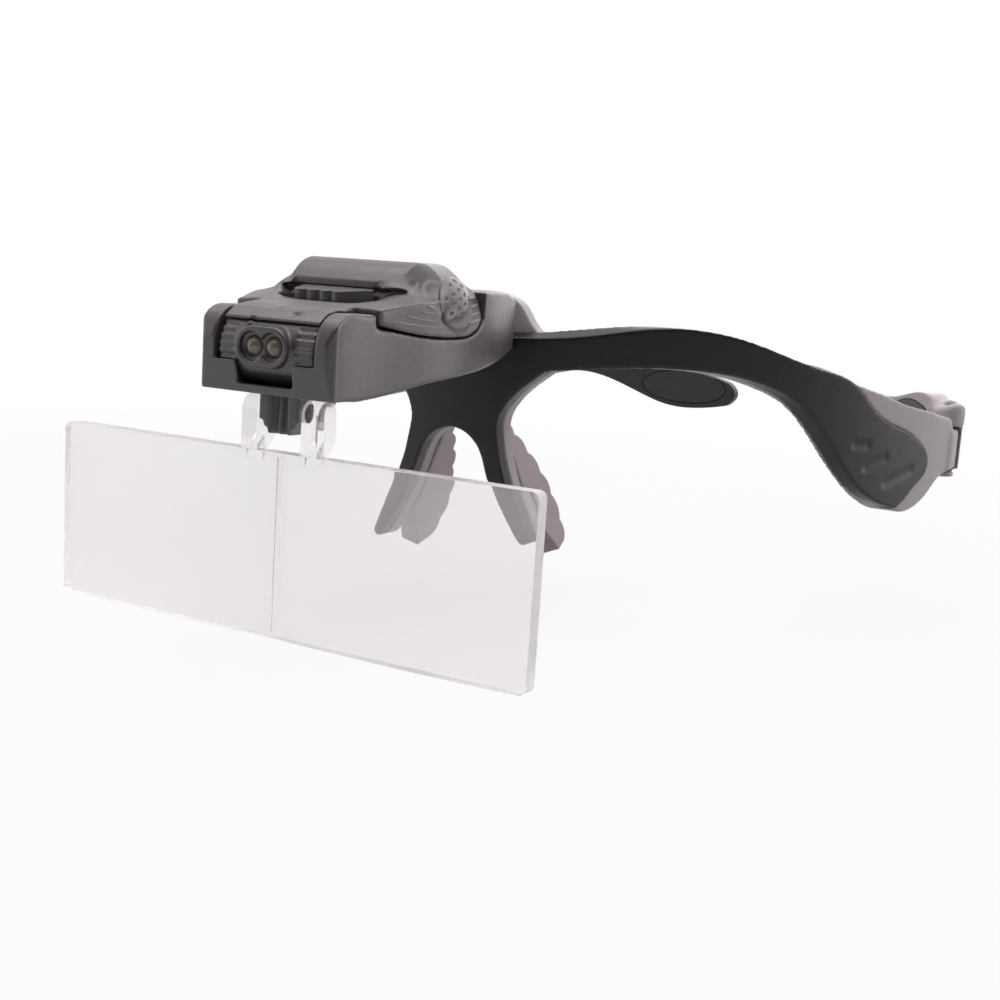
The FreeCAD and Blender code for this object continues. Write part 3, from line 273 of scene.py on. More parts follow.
def makeMouldGroup():
    group = bpy.data.node_groups.new("mouldedSkin", "ShaderNodeTree")
    for name, kind in mouldSockets:
        addSocket(group, name, kind)
    for name, kind in (("Colour", "Color"), ("Roughness", "Float"), ("Height", "Float")):
        addSocket(group, name, kind, output=True)
    start = group.nodes.new("NodeGroupInput")
    end = group.nodes.new("NodeGroupOutput")
    place = addNode(group, "TexCoord")
    grain = addNode(group, "TexNoise", Detail=3.0, Roughness=0.6)
    pits = addNode(group, "TexVoronoi", feature="SMOOTH_F1", Smoothness=0.4)
    cloud = addNode(group, "TexNoise", Scale=mouldLook["cloud scale"], Detail=4.0, Roughness=0.55)
    streak = addNode(group, "TexNoise", Scale=mouldLook["streak scale"], Detail=2.0, Roughness=0.5)
    finer = addNode(group, "Math", operation="MULTIPLY")
    finer.inputs[1].default_value = mouldLook["pit share"]
    for texture in (grain, pits, cloud, streak):
        wire(group, (place.outputs["Object"], texture.inputs["Vector"]))
    wire(
        group,
        (start.outputs["Grain size"], grain.inputs["Scale"]),
        (start.outputs["Grain size"], finer.inputs[0]),
        (finer.outputs[0], pits.inputs["Scale"]),
    )
    # Colour: mottled base, then rubbed edges, then dust
    shade = addRange(group, mouldLook["cloud"])
    low = addNode(group, "Math", operation="SUBTRACT")
    low.inputs[0].default_value = 1.0
    high = addNode(group, "Math", operation="ADD")
    high.inputs[0].default_value = 1.0
    wire(
        group,
        (cloud.outputs["Fac"], shade.inputs["Value"]),
        (start.outputs["Mottle"], low.inputs[1]), (start.outputs["Mottle"], high.inputs[1]),
        (low.outputs[0], shade.inputs["To Min"]), (high.outputs[0], shade.inputs["To Max"]),
    )
    mottled = addNode(group, "VectorMath", operation="SCALE")
    wire(group, (start.outputs["Colour"], mottled.inputs[0]), (shade.outputs["Result"], mottled.inputs["Scale"]))
    shape = addNode(group, "NewGeometry")
    edge = addRange(group, mouldLook["edge"], kind="SMOOTHSTEP")
    broken = addNode(group, "Math", operation="MULTIPLY")
    worn = addNode(group, "Math", operation="MULTIPLY", use_clamp=True)
    wire(
        group,
        (shape.outputs["Pointiness"], edge.inputs["Value"]),
        (edge.outputs["Result"], broken.inputs[0]), (streak.outputs["Fac"], broken.inputs[1]),
        (broken.outputs[0], worn.inputs[0]), (start.outputs["Edge wear"], worn.inputs[1]),
    )
    rubbed = addNode(group, "Mix", data_type="RGBA")
    wire(
        group,
        (worn.outputs[0], rubbed.inputs["Factor"]),
        (mottled.outputs[0], rubbed.inputs[6]), (start.outputs["Rubbed"], rubbed.inputs[7]),
    )
    split = addNode(group, "SeparateXYZ")
    upward = addRange(group, mouldLook["upward"], kind="SMOOTHSTEP")
    specks = addRange(group, mouldLook["specks"])
    lying = addNode(group, "Math", operation="MULTIPLY")
    dusty = addNode(group, "Math", operation="MULTIPLY", use_clamp=True)
    wire(
        group,
        (shape.outputs["Normal"], split.inputs[0]), (split.outputs["Z"], upward.inputs["Value"]),
        (streak.outputs["Fac"], specks.inputs["Value"]),
        (upward.outputs["Result"], lying.inputs[0]), (specks.outputs["Result"], lying.inputs[1]),
        (lying.outputs[0], dusty.inputs[0]), (start.outputs["Dust"], dusty.inputs[1]),
    )
    dust = addNode(group, "Mix", data_type="RGBA")
    dust.inputs[7].default_value = mouldLook["dust"]
    wire(
        group,
        (dusty.outputs[0], dust.inputs["Factor"]), (rubbed.outputs[2], dust.inputs[6]),
        (dust.outputs[2], end.inputs["Colour"]),
    )
    # Roughness follows the fine streaks
    gloss = addRange(group, mouldLook["streak"])
    wire(
        group,
        (streak.outputs["Fac"], gloss.inputs["Value"]),
        (start.outputs["Rough low"], gloss.inputs["To Min"]),
        (start.outputs["Rough high"], gloss.inputs["To Max"]),
        (gloss.outputs["Result"], end.inputs["Roughness"]),
    )
    # Height: grain and pits together
    both = addNode(group, "Math", operation="ADD")
    wire(
        group,
        (grain.outputs["Fac"], both.inputs[0]), (pits.outputs["Distance"], both.inputs[1]),
        (both.outputs[0], end.inputs["Height"]),
    )
    return group


mouldGroup = makeMouldGroup()


def makePlastic(name, look):
    finish, tree, shader = newMaterial(name)
    skin = addNode(tree, "Group", node_tree=mouldGroup)
    setInputs(skin, {socket: look[socket] for socket, kind in mouldSockets})
    bump = addNode(tree, "Bump", Strength=look["bump"], Distance=look["depth"] * mm)
    wire(
        tree,
        (skin.outputs["Colour"], shader.inputs["Base Color"]),
        (skin.outputs["Roughness"], shader.inputs["Roughness"]),
        (skin.outputs["Height"], bump.inputs["Height"]),
        (bump.outputs["Normal"], shader.inputs["Normal"]),
    )
    setInputs(shader, {
        "IOR": look.get("ior", 1.5), "Subsurface Weight": look.get("soft", 0.0), "Subsurface Scale": 1.5 * mm,
        "Sheen Weight": look.get("sheen", 0.0), "Sheen Roughness": 0.4,
    })
    return finish


plasticLooks = {
    "housing": {
        "Colour": rgb(0.076, 0.068, 0.071), "Rubbed": rgb(0.14, 0.13, 0.13), "Grain size": 5200.0, "Mottle": 0.07,
        "Edge wear": 0.25, "Rough low": 0.31, "Rough high": 0.42, "Dust": 0.04, "bump": 0.25, "depth": 0.04,
        "ior": 1.65,
    },
    "knob": {
        "Colour": rgb(0.1, 0.094, 0.097), "Rubbed": rgb(0.2, 0.19, 0.19), "Grain size": 6200.0, "Mottle": 0.07,
        "Edge wear": 0.5, "Rough low": 0.28, "Rough high": 0.4, "Dust": 0.04, "bump": 0.2, "depth": 0.04,
    },
    # Ridge tops: the housing plastic painted lighter, a painted highlight for the light the raised ribs catch
    "ridgeHighlight": {
        "Colour": rgb(0.3, 0.27, 0.275), "Rubbed": rgb(0.36, 0.33, 0.33), "Grain size": 6200.0, "Mottle": 0.05,
        "Edge wear": 0.3, "Rough low": 0.3, "Rough high": 0.42, "Dust": 0.0, "bump": 0.15, "depth": 0.03,
    },
    "brow": {
        "Colour": rgb(0.0075, 0.0072, 0.0072), "Rubbed": rgb(0.028, 0.026, 0.026), "Grain size": 5600.0,
        "Mottle": 0.1, "Edge wear": 0.25, "Rough low": 0.36, "Rough high": 0.46, "Dust": 0.02, "bump": 0.3,
        "depth": 0.04, "ior": 1.42,
    },
    "light": {
        "Colour": rgb(0.56, 0.53, 0.534), "Rubbed": rgb(0.6, 0.575, 0.575), "Grain size": 5000.0, "Mottle": 0.03,
        "Edge wear": 0.3, "Rough low": 0.4, "Rough high": 0.52, "Dust": 0.0, "bump": 0.2, "depth": 0.04,
        "ior": 1.28,
    },
    "pads": {
        "Colour": rgb(0.45, 0.405, 0.41), "Rubbed": rgb(0.37, 0.34, 0.335), "Grain size": 3600.0, "Mottle": 0.05,
        "Edge wear": 0.2, "Rough low": 0.5, "Rough high": 0.66, "Dust": 0.0, "bump": 0.2, "depth": 0.05,
        "soft": 0.35, "sheen": 0.1,
    },
    "sleeve": {
        "Colour": rgb(0.026, 0.0245, 0.025), "Rubbed": rgb(0.08, 0.076, 0.076), "Grain size": 4600.0, "Mottle": 0.1,
        "Edge wear": 0.3, "Rough low": 0.5, "Rough high": 0.64, "Dust": 0.03, "bump": 0.35, "depth": 0.05,
    },
    "board": {
        "Colour": rgb(0.02, 0.11, 0.045), "Rubbed": rgb(0.3, 0.27, 0.12), "Grain size": 2600.0, "Mottle": 0.12,
        "Edge wear": 0.2, "Rough low": 0.25, "Rough high": 0.4, "Dust": 0.0, "bump": 0.2, "depth": 0.04,
    },
}
plastics = {name: makePlastic(name + "Plastic", look) for name, look in plasticLooks.items()}


def makeMetal(name, look):
    # Brushed along one direction
    finish, tree, shader = newMaterial(name)
    place = addNode(tree, "TexCoord")
    turned = addNode(tree, "Mapping")
    turned.inputs["Scale"].default_value = look["stretch"]
    brushed = addNode(tree, "TexNoise", Scale=look["scale"], Detail=4.0, Roughness=0.6)
    tone = addNode(tree, "Mix", data_type="RGBA")
    tone.inputs[6].default_value = look["dark"]
    tone.inputs[7].default_value = look["bright"]
    gloss = addRange(tree, after=look["rough"])
    bump = addNode(tree, "Bump", Strength=0.25, Distance=0.02 * mm)
    wire(
        tree,
        (place.outputs["Object"], turned.inputs["Vector"]), (turned.outputs[0], brushed.inputs["Vector"]),
        (brushed.outputs["Fac"], tone.inputs["Factor"]), (tone.outputs[2], shader.inputs["Base Color"]),
        (brushed.outputs["Fac"], gloss.inputs["Value"]), (gloss.outputs["Result"], shader.inputs["Roughness"]),
        (brushed.outputs["Fac"], bump.inputs["Height"]), (bump.outputs["Normal"], shader.inputs["Normal"]),
    )
    shader.inputs["Metallic"].default_value = 1.0
    return finish


metalLooks = {
    "steel": {
        "dark": rgb(0.42, 0.41, 0.4), "bright": rgb(0.66, 0.65, 0.63), "rough": (0.2, 0.42), "scale": 1800.0,
        "stretch": (0.15, 1.0, 1.0),
    },
    "cell": {
        "dark": rgb(0.6, 0.59, 0.57), "bright": rgb(0.8, 0.79, 0.76), "rough": (0.14, 0.34), "scale": 1200.0,
        "stretch": (1.0, 0.2, 0.2),
    },
    "spring": {
        "dark": rgb(0.55, 0.42, 0.22), "bright": rgb(0.78, 0.64, 0.38), "rough": (0.2, 0.4), "scale": 1500.0,
        "stretch": (1.0, 1.0, 0.2),
    },
}
metals = {name: makeMetal(name + "Metal", look) for name, look in metalLooks.items()}


def makeClear(name, look):
    # Clear moulded plastic: gloss with faint wipe marks, and no black shadow behind it
    finish, tree, shader = newMaterial(name)
    place = addNode(tree, "TexCoord")
    smear = addNode(tree, "TexNoise", Scale=look["smear"], Detail=3.0, Roughness=0.5, Distortion=0.6)
    gloss = addRange(tree, (0.4, 0.8), look["rough"])
    tint = addNode(tree, "Mix", data_type="RGBA")
    tint.inputs[6].default_value = look["tint"]
    tint.inputs[7].default_value = look["haze"]
    bump = addNode(tree, "Bump", Strength=0.1, Distance=0.02 * mm)
    wire(
        tree,
        (place.outputs["Object"], smear.inputs["Vector"]),
        (smear.outputs["Fac"], gloss.inputs["Value"]), (gloss.outputs["Result"], shader.inputs["Roughness"]),
        (smear.outputs["Fac"], tint.inputs["Factor"]), (tint.outputs[2], shader.inputs["Base Color"]),
        (smear.outputs["Fac"], bump.inputs["Height"]), (bump.outputs["Normal"], shader.inputs["Normal"]),
    )
    setInputs(shader, {"IOR": look["ior"], "Transmission Weight": look["through"]})
    rays = addNode(tree, "LightPath")
    passing = addNode(tree, "BsdfTransparent", Color=look["shadow"])
    mix = addNode(tree, "MixShader")
    wire(
        tree,
        (rays.outputs["Is Shadow Ray"], mix.inputs["Fac"]),
        (shader.outputs[0], mix.inputs[1]), (passing.outputs[0], mix.inputs[2]),
        (mix.outputs[0], tree.nodes["Material Output"].inputs["Surface"]),
    )
    return finish


clearLooks = {
    "lens": {
        "tint": rgb(0.975, 0.955, 0.96), "haze": rgb(0.965, 0.945, 0.95), "ior": 1.49, "through": 0.8,
        "rough": (0.0, 0.03), "smear": 60.0, "shadow": rgb(0.9, 0.9, 0.9),
    },
    # The ears' copy of the lens finish, tuned to render lighter: painted light
    "lensEarBrightened": {
        "tint": rgb(0.98, 0.96, 0.967), "haze": rgb(0.96, 0.94, 0.947), "ior": 1.16, "through": 0.86,
        "rough": (0.02, 0.08), "smear": 200.0, "shadow": rgb(0.9, 0.9, 0.9),
    },
    # The rim's rougher finish is real; its whiter tint is a painted highlight
    "lensEdge": {
        "tint": rgb(1.0, 0.985, 0.99), "haze": rgb(0.99, 0.97, 0.975), "ior": 1.42, "through": 0.82,
        "rough": (0.3, 0.45), "smear": 40.0, "shadow": rgb(0.9, 0.9, 0.9),
    },
    "diode": {
        "tint": rgb(0.95, 0.9, 0.72), "haze": rgb(0.9, 0.84, 0.64), "ior": 1.53, "through": 0.85,
        "rough": (0.04, 0.12), "smear": 700.0, "shadow": rgb(0.8, 0.75, 0.6),
    },
}
clears = {name: makeClear(name + "Clear", look) for name, look in clearLooks.items()}
print("finishes made")

# Camera at the photograph's place
cameraLook = {
    "place": (129.656, -161.979, 28.751), "turn": (0.73044239, 0.63103173, 0.14426682, 0.21780714), "lens": 50.4,
    "film": 36.0, "near": 5.0, "far": 20000.0,
}
bpy.ops.object.camera_add(location=Vector(cameraLook["place"]) * mm)
camera = bpy.context.object
camera.rotation_mode = "QUATERNION"
camera.rotation_quaternion = Quaternion(cameraLook["turn"])
camera.data.sensor_width = cameraLook["film"]
camera.data.lens = cameraLook["lens"]
camera.data.clip_start = cameraLook["near"] * mm
camera.data.clip_end = cameraLook["far"] * mm
scene.camera = camera

# Floor, light and world
floorLook = {
    "side": 6.0, "centre": (0.0, 0.08), "drop": 0.02, "fade": (0.13, 0.3), "shadow": 0.15,
    "tone": rgb(0.86, 0.86, 0.86), "bounce": rgb(0.3, 0.3, 0.3),
}


def makeFloor():
    # White to the camera, to reflections and through the lens. The shadow fades in below the object
    place = (*floorLook["centre"], cadLow.z - floorLook["drop"] * mm)
    bpy.ops.mesh.primitive_plane_add(size=floorLook["side"], location=place)
    floor = bpy.context.object
    floor.name = "studioFloor"
    paint, tree, shader = newMaterial("paleFloor")
    shader.inputs["Roughness"].default_value = 0.8
    rays = addNode(tree, "LightPath")
    tone = addNode(tree, "Mix", data_type="RGBA")
    tone.inputs[6].default_value = floorLook["tone"]
    tone.inputs[7].default_value = floorLook["bounce"]
    seen = addNode(tree, "Math", operation="MAXIMUM")
    seenToo = addNode(tree, "Math", operation="MAXIMUM")
    spot = addNode(tree, "TexCoord")
    far = addNode(tree, "VectorMath", operation="LENGTH")
    fade = addRange(tree, floorLook["fade"], (1 - floorLook["shadow"], 1.0), "SMOOTHSTEP")
    amount = addNode(tree, "Math", operation="MULTIPLY")
    glow = addNode(tree, "Emission")
    mix = addNode(tree, "MixShader")
    wire(
        tree,
        (rays.outputs["Is Diffuse Ray"], tone.inputs[0]), (tone.outputs[2], shader.inputs["Base Color"]),
        (rays.outputs["Is Camera Ray"], seen.inputs[0]), (rays.outputs["Is Glossy Ray"], seen.inputs[1]),
        (seen.outputs[0], seenToo.inputs[0]), (rays.outputs["Is Transmission Ray"], seenToo.inputs[1]),
        (spot.outputs["Object"], far.inputs[0]), (far.outputs["Value"], fade.inputs["Value"]),
        (seenToo.outputs[0], amount.inputs[0]), (fade.outputs["Result"], amount.inputs[1]),
        (amount.outputs[0], mix.inputs["Fac"]),
        (shader.outputs[0], mix.inputs[1]), (glow.outputs[0], mix.inputs[2]),
        (mix.outputs[0], tree.nodes["Material Output"].inputs["Surface"]),
    )
    floor.data.materials.append(paint)


studioTint = (1.0, 0.945, 0.955)
lampAim = (0.0, 0.05, 0.0)
lampLooks = {
    "topSoftbox": {"place": (-0.05, 0.02, 0.75), "size": 0.9, "power": 5.4},
    "rightSoftbox": {"place": (0.78, 0.48, 0.2), "size": 0.5, "power": 2.6},
    "leftSoftbox": {"place": (-0.72, -0.42, 0.22), "size": 0.45, "power": 0.8},
    "backSoftbox": {"place": (-0.1, 0.85, 0.35), "size": 0.7, "power": 2.6},
}


def makeLights():
    for name, look in lampLooks.items():
        bpy.ops.object.light_add(type="AREA", location=look["place"])
        lamp = bpy.context.object
        lamp.name = name
        lamp.data.size = look["size"]
        lamp.data.energy = look["power"]
        lamp.data.color = studioTint
        aim = Vector(lampAim) - Vector(look["place"])
        lamp.rotation_euler = aim.to_track_quat("-Z", "Y").to_euler()


worldLook = {"dim side": (0.25, -0.95, 0.05), "edge": (0.15, 0.8), "strength": (1.0, 0.02), "matt share": 0.09}


def makeWorld():
    world = bpy.data.worlds.new("studioWorld")
    scene.world = world
    world.use_nodes = True
    tree = world.node_tree
    back = tree.nodes["Background"]
    rays = addNode(tree, "LightPath")
    place = addNode(tree, "TexCoord")
    # A white room with one dim side, where a photographer would stand
    facing = addNode(tree, "VectorMath", operation="DOT_PRODUCT")
    facing.inputs[1].default_value = Vector(worldLook["dim side"]).normalized()
    lobe = addRange(tree, worldLook["edge"], worldLook["strength"], "SMOOTHSTEP")
    share = addNode(tree, "Mix", data_type="FLOAT")
    share.inputs[2].default_value = 1.0
    share.inputs[3].default_value = worldLook["matt share"]
    lit = addNode(tree, "Math", operation="MULTIPLY")
    seen = addNode(tree, "Math", operation="MAXIMUM")
    white = addNode(tree, "Mix", data_type="FLOAT")
    white.inputs[3].default_value = 1.0
    wire(
        tree,
        (place.outputs["Generated"], facing.inputs[0]), (facing.outputs["Value"], lobe.inputs["Value"]),
        (rays.outputs["Is Diffuse Ray"], share.inputs[0]),
        (lobe.outputs["Result"], lit.inputs[0]), (share.outputs[0], lit.inputs[1]),
        (rays.outputs["Is Camera Ray"], seen.inputs[0]),
        (rays.outputs["Is Transmission Ray"], seen.inputs[1]),
        (seen.outputs[0], white.inputs[0]), (lit.outputs[0], white.inputs[2]),
        (white.outputs[0], back.inputs["Strength"]),
    )
    tint = addNode(tree, "Mix", data_type="RGBA")
    tint.inputs[6].default_value = rgb(*studioTint)
    tint.inputs[7].default_value = rgb(1, 1, 1)
    wire(tree, (seen.outputs[0], tint.inputs[0]), (tint.outputs[2], back.inputs["Color"]))


makeFloor()
makeLights()
makeWorld()
print("studio ready")

# Rounded copies of the moulded parts
mouldedParts = {
    "cradleShell": {
        "node": "lamp_cradle", "body": "frame", "finish": "housing", "grid": 0.2, "passes": 8,
        "keep": 0.45,
    },
    "coverShell": {
        "node": "module_cover", "body": "lamp", "finish": "housing", "grid": 0.17, "passes": 8,
        "keep": 0.4,
    },
    "barrelDrum": {
        "node": "led_barrel", "body": "barrel", "finish": "housing", "grid": 0.12, "passes": 16,
        "keep": 0.6,
    },
    "frontBar": {
        "node": "front_frame", "body": "frame", "finish": "brow", "grid": 0.22, "passes": 12,
        "keep": 0.5,
    },
    "browLiner": {
        "node": "frame_liner", "body": "frame", "finish": "light", "grid": 0.22, "passes": 9,
        "keep": 0.4,
    },
    "hangerBlock": {
        "node": "lens_hanger", "body": "frame", "finish": "housing", "grid": 0.1, "passes": 22,
        "keep": 0.6,
    },
    "slideKnob": {
        "node": "switch_knob", "body": "knob", "finish": "knob", "grid": 0.08, "passes": 3,
        "keep": 0.6,
    },
    "nosePadLeft": {
        "node": "nose_pad_left", "body": "frame", "finish": "pads", "grid": 0.18, "passes": 4,
        "keep": 0.6,
    },
    "nosePadRight": {
        "node": "nose_pad_right", "body": "frame", "finish": "pads", "grid": 0.18, "passes": 4,
        "keep": 0.6,
    },
    "armLeft": {
        "node": "temple_arm_left", "body": "temple_left", "finish": "light", "grid": 0.18, "passes": 7,
        "keep": 0.5,
    },
    "armRight": {
        "node": "temple_arm_right", "body": "temple_right", "finish": "light", "grid": 0.18, "passes": 7,
        "keep": 0.5,
    },
    "sleeveLeft": {
        "node": "temple_tip_left", "body": "temple_left", "finish": "sleeve", "grid": 0.18, "passes": 8,
        "keep": 0.5,
    },
    "sleeveRight": {
        "node": "temple_tip_right", "body": "temple_right", "finish": "sleeve", "grid": 0.18, "passes": 8,
        "keep": 0.5,
    },
}

# Strokes in mm on the moulded skins: dents, creases and swells that the form shows
rootSwell = {
    "path": [(71.2, 114.2, 8.6), (73.4, 111.4, 7.9)],
    "width": (8, 7.5), "depth": (1.7, 1.1), "push": (0, 0, 1),
}
skinStrokes = {
    "coverShell": [
        {
            "path": [(3.4, -1.4, 20.8), (6.3, 0.3, 21.4), (8.1, 2.7, 21.85), (9.6, 5.0, 22.1), (11.2, 6.3, 22.4)],
            "width": (2.2, 0.9), "depth": (0.55, 0.15), "push": (0, 0.3, -1),
        },
        *bothSides(
            {
                "path": [(15.0, 17.6, 26.4), (15.0, 21.5, 27.8), (15.0, 26.5, 27.2)],
                "width": (8, 9), "depth": (1.0, 1.1), "push": (0.15, 0, -1),
            },
            {
                "path": [(11.7, 15.8, 25.5), (11.9, 16.9, 26.7)],
                "width": (1.3, 1.1), "depth": (0.4, 0.3), "push": (0, 1, -0.4),
            },
        ),
        {
            "path": [(8.4, 12.6, 23.2), (10.2, 13.6, 23.6)],
            "width": (3.2, 4.2), "depth": (0.7, 0.9), "push": (0, -0.3, 1),
        },
        {
            "path": [(-3.6, -2.7, 19.6), (-2.6, -1.4, 20.7), (-0.6, 0.4, 21.4)],
            "width": (1.6, 2.2), "depth": (0.25, 0.12), "push": (0, -0.5, 1),
        },
    ],
    "armLeft": [rootSwell],
    "armRight": bothSides(rootSwell)[1:],
    "barrelDrum": [
        {
            "path": [(-5.1, -4.6, 16.2), (-4.7, -4.3, 17.6), (-3.8, -2.8, 19.0)],
            "width": (1.4, 1.6), "depth": (0.25, 0.3), "push": (0, -1, 0.7),
        },
    ],
    "hangerBlock": [
        {"path": [(0, 0.3, 9.2), (0, 0.3, 3.0)], "width": (3.6, 2.6), "depth": (1.0, 0.7), "push": (0, 1, 0)},
    ],
    "frontBar": bothSides(
        {
            "path": [(62.8, 82.0, 2.4), (64.2, 84.3, 2.4)],
            "width": (2.8, 2.8), "depth": (0.16, 0.16), "push": (-0.86, 0.5, 0),
        },
        {
            "path": [(64.4, 84.5, -1.6), (66.5, 88.3, 0.1)],
            "width": (3.0, 3.0), "depth": (0.19, 0.19), "push": (-0.87, 0.49, 0),
        },
        {
            "path": [(66.9, 89.2, -4.5), (69.6, 95.0, -2.4)],
            "width": (3.2, 3.2), "depth": (0.19, 0.19), "push": (-0.9, 0.43, 0),
        },
    ),
}

# Places in mm where a skin is rounded more than the rest of it
rootEar = [(71.5, 112.6, 7), (71.5, 112.6, 1), (71.5, 112.6, -5)]
linerEnd = [(72.5, 109, 6.5), (72.5, 109, 0), (72.5, 109, -5)]
cheekNotch = [(13.1, 3.9, 20.7), (13.4, 5.2, 20.0)]
drumEnd = [(8, -4, 18.5), (8, -4.5, 15.5), (8, -4, 12.5)]
softPlaces = {
    "armLeft": [{"places": rootEar, "radius": 9, "passes": 90}],
    "armRight": [{"places": otherSide(rootEar), "radius": 9, "passes": 90}],
    "browLiner": [{"places": linerEnd + otherSide(linerEnd), "radius": 8, "passes": 90}],
    "cradleShell": [{"places": cheekNotch + otherSide(cheekNotch), "radius": 2.6, "passes": 40}],
    "coverShell": [
        {
            "places": [
                (-8, 5, 22.5), (-4, 4, 22.5), (0, 4, 22.5), (4, 4, 22.5), (8, 5, 22.5), (9.5, 8, 23), (-9.5, 8, 23),
                (10, 12, 23.5), (-10, 12, 23.5), (12, 5.5, 20.5), (-12, 5.5, 20.5),
            ],
            "radius": 4.2, "passes": 45,
        },
        {"places": [(9.6, 13.0, 23.4), (9.0, 14.6, 24.2)], "radius": 3.4, "passes": 220},
    ],
    "hangerBlock": [{"places": [(0, 0, 8), (0, 0, 6), (0, 0, 4)], "radius": 4.5, "passes": 120}],
    "barrelDrum": [{"places": drumEnd + otherSide(drumEnd), "radius": 4.2, "passes": 60}],
}

# Raised finger ridges in (y, z) on the cover's flank, in a lighter plastic as a painted highlight, and the dimpled
# oval disc
flankRidges = {
    "lines": [
        [(7.3, 20.35), (11.4, 19.83), (16.5, 19.6)], [(9.9, 21.15), (12.8, 20.67), (15.7, 20.5)],
        [(12.3, 21.85), (13.7, 21.7), (15.2, 21.66)], [(13.5, 22.7), (14.2, 22.55), (14.9, 22.45)],
        [(24.9, 22.75), (26.2, 22.95), (27.4, 23.15)], [(24.3, 21.5), (25.8, 21.75), (27.4, 21.95)],
        [(23.5, 20.35), (25.4, 20.6), (27.3, 20.85)], [(25.2, 24.0), (26.2, 24.1), (27.3, 24.2)],
    ],
    "thick": 0.26, "sunk": 0.06, "end": 0.5,
}
gripDisc = {
    "centre": (21.1, 23.6), "wide": (3.9, 0.0), "tall": (2.8, 3.6), "out": (0.85, -0.15, 0.5), "front": 0.45,
    "crown": 0.15, "back": 1.3, "pitch": 1.72, "row": 0.87, "rows": 5, "reach": 0.84, "dimple": 0.42, "deep": 0.3,
    "segments": 120, "rings": 90, "squareness": 5, "cup": 0.8, "least x": 10.0,
}


def sideTree(cover):
    return BVHTree.FromObject(cover, bpy.context.evaluated_depsgraph_get())


def meetSide(tree, along, level):
    # Where a ray from the right meets the skin, and which way the skin faces there
    outside = 30
    return tree.ray_cast(Vector((outside, along, level)) * mm, Vector((-1, 0, 0)))[:2]


def makeRidge(cover, line):
    tree = sideTree(cover)
    spots = []
    for along, level in line:
        spot, normal = meetSide(tree, along, level)
        spots.append(spot - normal * flankRidges["sunk"] * mm)
    bpy.ops.curve.primitive_nurbs_path_add()
    path = bpy.context.object
    spline = path.data.splines[0]
    steps = len(spline.points) - 1
    for index, point in enumerate(spline.points):
        place = index / steps * (len(spots) - 1)
        low = min(int(place), len(spots) - 2)
        spot = spots[low].lerp(spots[low + 1], place - low)
        point.co = (*spot, 1)
        point.radius = flankRidges["end"] if index in (0, steps) else 1.0
    path.data.bevel_depth = flankRidges["thick"] * mm
    path.data.bevel_resolution = 3
    path.data.use_fill_caps = True
    bpy.ops.object.convert(target="MESH")
    return bpy.context.object


def makeGripDisc(cover):
    look = gripDisc
    bpy.ops.mesh.primitive_uv_sphere_add(segments=look["segments"], ring_count=look["rings"], radius=1)
    disc = bpy.context.object
    ball = readSpots(disc) * mm
    rim = numpy.minimum(numpy.hypot(ball[:, 0], ball[:, 1]), 1)
    swell = numpy.sqrt(1 - rim ** look["squareness"]) * numpy.sign(ball[:, 2])
    proud = numpy.where(swell > 0, swell * look["front"] + look["crown"] * (1 - rim ** 2), swell * look["back"])
    # Staggered dimples, kept clear of the rim
    wideReach = math.hypot(*look["wide"])
    tallReach = math.hypot(*look["tall"])
    steps = range(-look["rows"], look["rows"] + 1)
    for row in steps:
        for column in steps:
            spotU = row * look["pitch"] * look["row"]
            spotV = (column + 0.5 * (row % 2)) * look["pitch"]
            if math.hypot(spotU / wideReach, spotV / tallReach) < look["reach"]:
                gap = numpy.hypot(ball[:, 0] * wideReach - spotU, ball[:, 1] * tallReach - spotV) / look["dimple"]
                cup = numpy.clip(1 - gap ** 2, 0, 1) ** look["cup"] * look["deep"]
                proud = numpy.where(swell > 0, proud - cup, proud)
    # The disc follows the skin: a smooth surface is fitted to where rays from the side meet it
    sideways = look["centre"] + numpy.outer(ball[:, 0], look["wide"]) + numpy.outer(ball[:, 1], look["tall"])
    tree = sideTree(cover)
    met = []
    for along, level in sideways[::7]:
        spot = meetSide(tree, along, level)[0]
        if spot and spot.x > look["least x"] * mm:
            met.append((along, level, spot.x / mm))
    met = numpy.array(met)
    powers = [(i, j) for i in range(3) for j in range(3 - i)]

    def terms(flat):
        near = (flat - look["centre"]) / tallReach
        return numpy.stack([near[:, 0] ** i * near[:, 1] ** j for i, j in powers], axis=1)

    fit = numpy.linalg.lstsq(terms(met[:, :2]), met[:, 2], rcond=None)[0]
    out = numpy.array(look["out"]) / numpy.linalg.norm(look["out"])
    writeSpots(disc, numpy.column_stack((terms(sideways) @ fit, sideways)) + proud[:, None] * out)
    selectOnly(disc)
    bpy.ops.object.shade_smooth()
    return disc


def dressCover(cover):
    ridges = [makeRidge(cover, line) for line in flankRidges["lines"]]
    ribs = joinInto(*ridges)
    ribs.name = "flankRibs"
    joinInto(ribs, mirrorCopy(ribs, "farRibs"))
    # The ribs take the lighter ridge plastic: a painted highlight
    finishPiece(ribs, "lamp", plastics["ridgeHighlight"])
    disc = makeGripDisc(cover)
    joinInto(cover, disc, mirrorCopy(disc, "farDisc"))


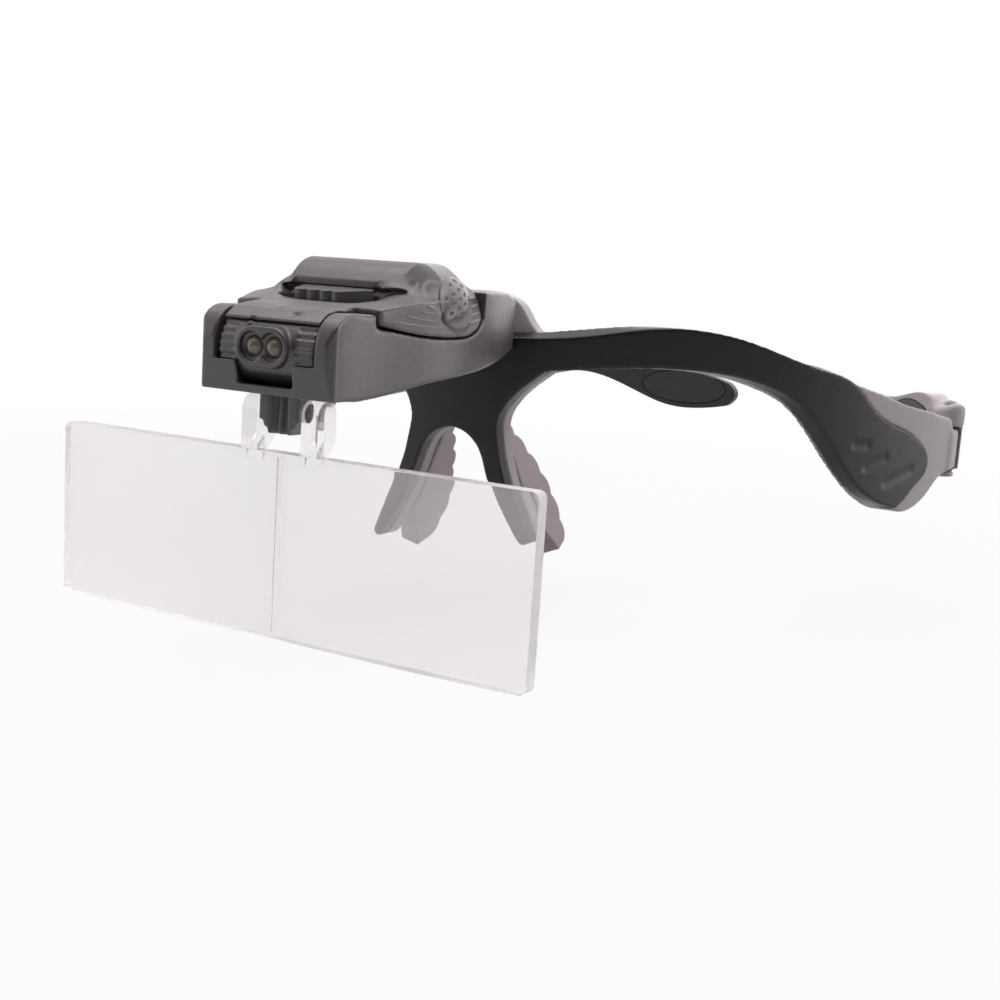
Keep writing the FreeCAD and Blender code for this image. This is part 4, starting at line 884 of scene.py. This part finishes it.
for name, look in mouldedParts.items():
    piece = copyNode(name, look["node"])
    soften(piece, look["grid"], look["passes"])
    press(piece, skinStrokes.get(name, []))
    for soft in softPlaces.get(name, []):
        easeNear(piece, **soft)
    thinOut(piece, look["keep"])
    if name == "coverShell":
        dressCover(piece)
    finishPiece(piece, look["body"], plastics[look["finish"]], [look["node"]])
    print(name, len(piece.data.polygons), "faces")

# The lens plate keeps its true surfaces
lensLook = {
    "rim": 43.6, "foot": -27.8, "head": 0.3, "squareness": 0.7,
    "seam": (0.2, 8.0, 27.7), "seam place": (0, 1, -14.4),
}


def makeLensPlate():
    plate = copyNode("lensPlate", "lens")
    # The line down the middle is a fine slit between the two halves
    bpy.ops.mesh.primitive_cube_add(size=1, location=Vector(lensLook["seam place"]) * mm)
    slit = bpy.context.object
    slit.scale = Vector(lensLook["seam"]) * mm
    keepPlace(slit)
    cutAway(plate, slit)
    smoothShade(plate, 30)
    finishPiece(plate, "lens_plate", clears["lens"], ["lens"])
    # The sawn rim scatters more light than the polished faces and gets a whiter tint, a painted highlight; the ears
    # stand above the plate and get a brighter copy of the lens finish, painted light
    plate.data.materials.append(clears["lensEdge"])
    plate.data.materials.append(clears["lensEarBrightened"])
    square = lensLook["squareness"]
    for face in plate.data.polygons:
        spot = face.center / mm
        side = abs(face.normal.x) > square and abs(spot.x) > lensLook["rim"]
        level = abs(face.normal.z) > square and (spot.z < lensLook["foot"] or abs(spot.z) < lensLook["head"])
        if side or level:
            face.material_index = 1
        # The ears take the brighter copy of the lens finish, painted light
        if spot.z > lensLook["head"]:
            face.material_index = 2


makeLensPlate()

# CAD nodes that stay as they are, with a finish of their own
nodeFinishes = (
    (plastics["housing"], ("module_tray",)),
    (plastics["board"], ("circuit_board",)),
    (plastics["sleeve"], ("switch_body", "root_pad_left", "root_pad_right", "tip_pad_left", "tip_pad_right")),
    (metals["steel"], ("barrel_axle", "tray_screws", "hinge_pin_left", "hinge_pin_right")),
    (metals["cell"], ("battery_1", "battery_2", "battery_3")),
    (metals["spring"], ("contact_left", "contact_right")),
    (clears["diode"], ("led_left", "led_right")),
)
for finish, names in nodeFinishes:
    for name in names:
        for materialSlot in nodes[name].material_slots:
            materialSlot.material = finish
print("finishes on the CAD nodes")
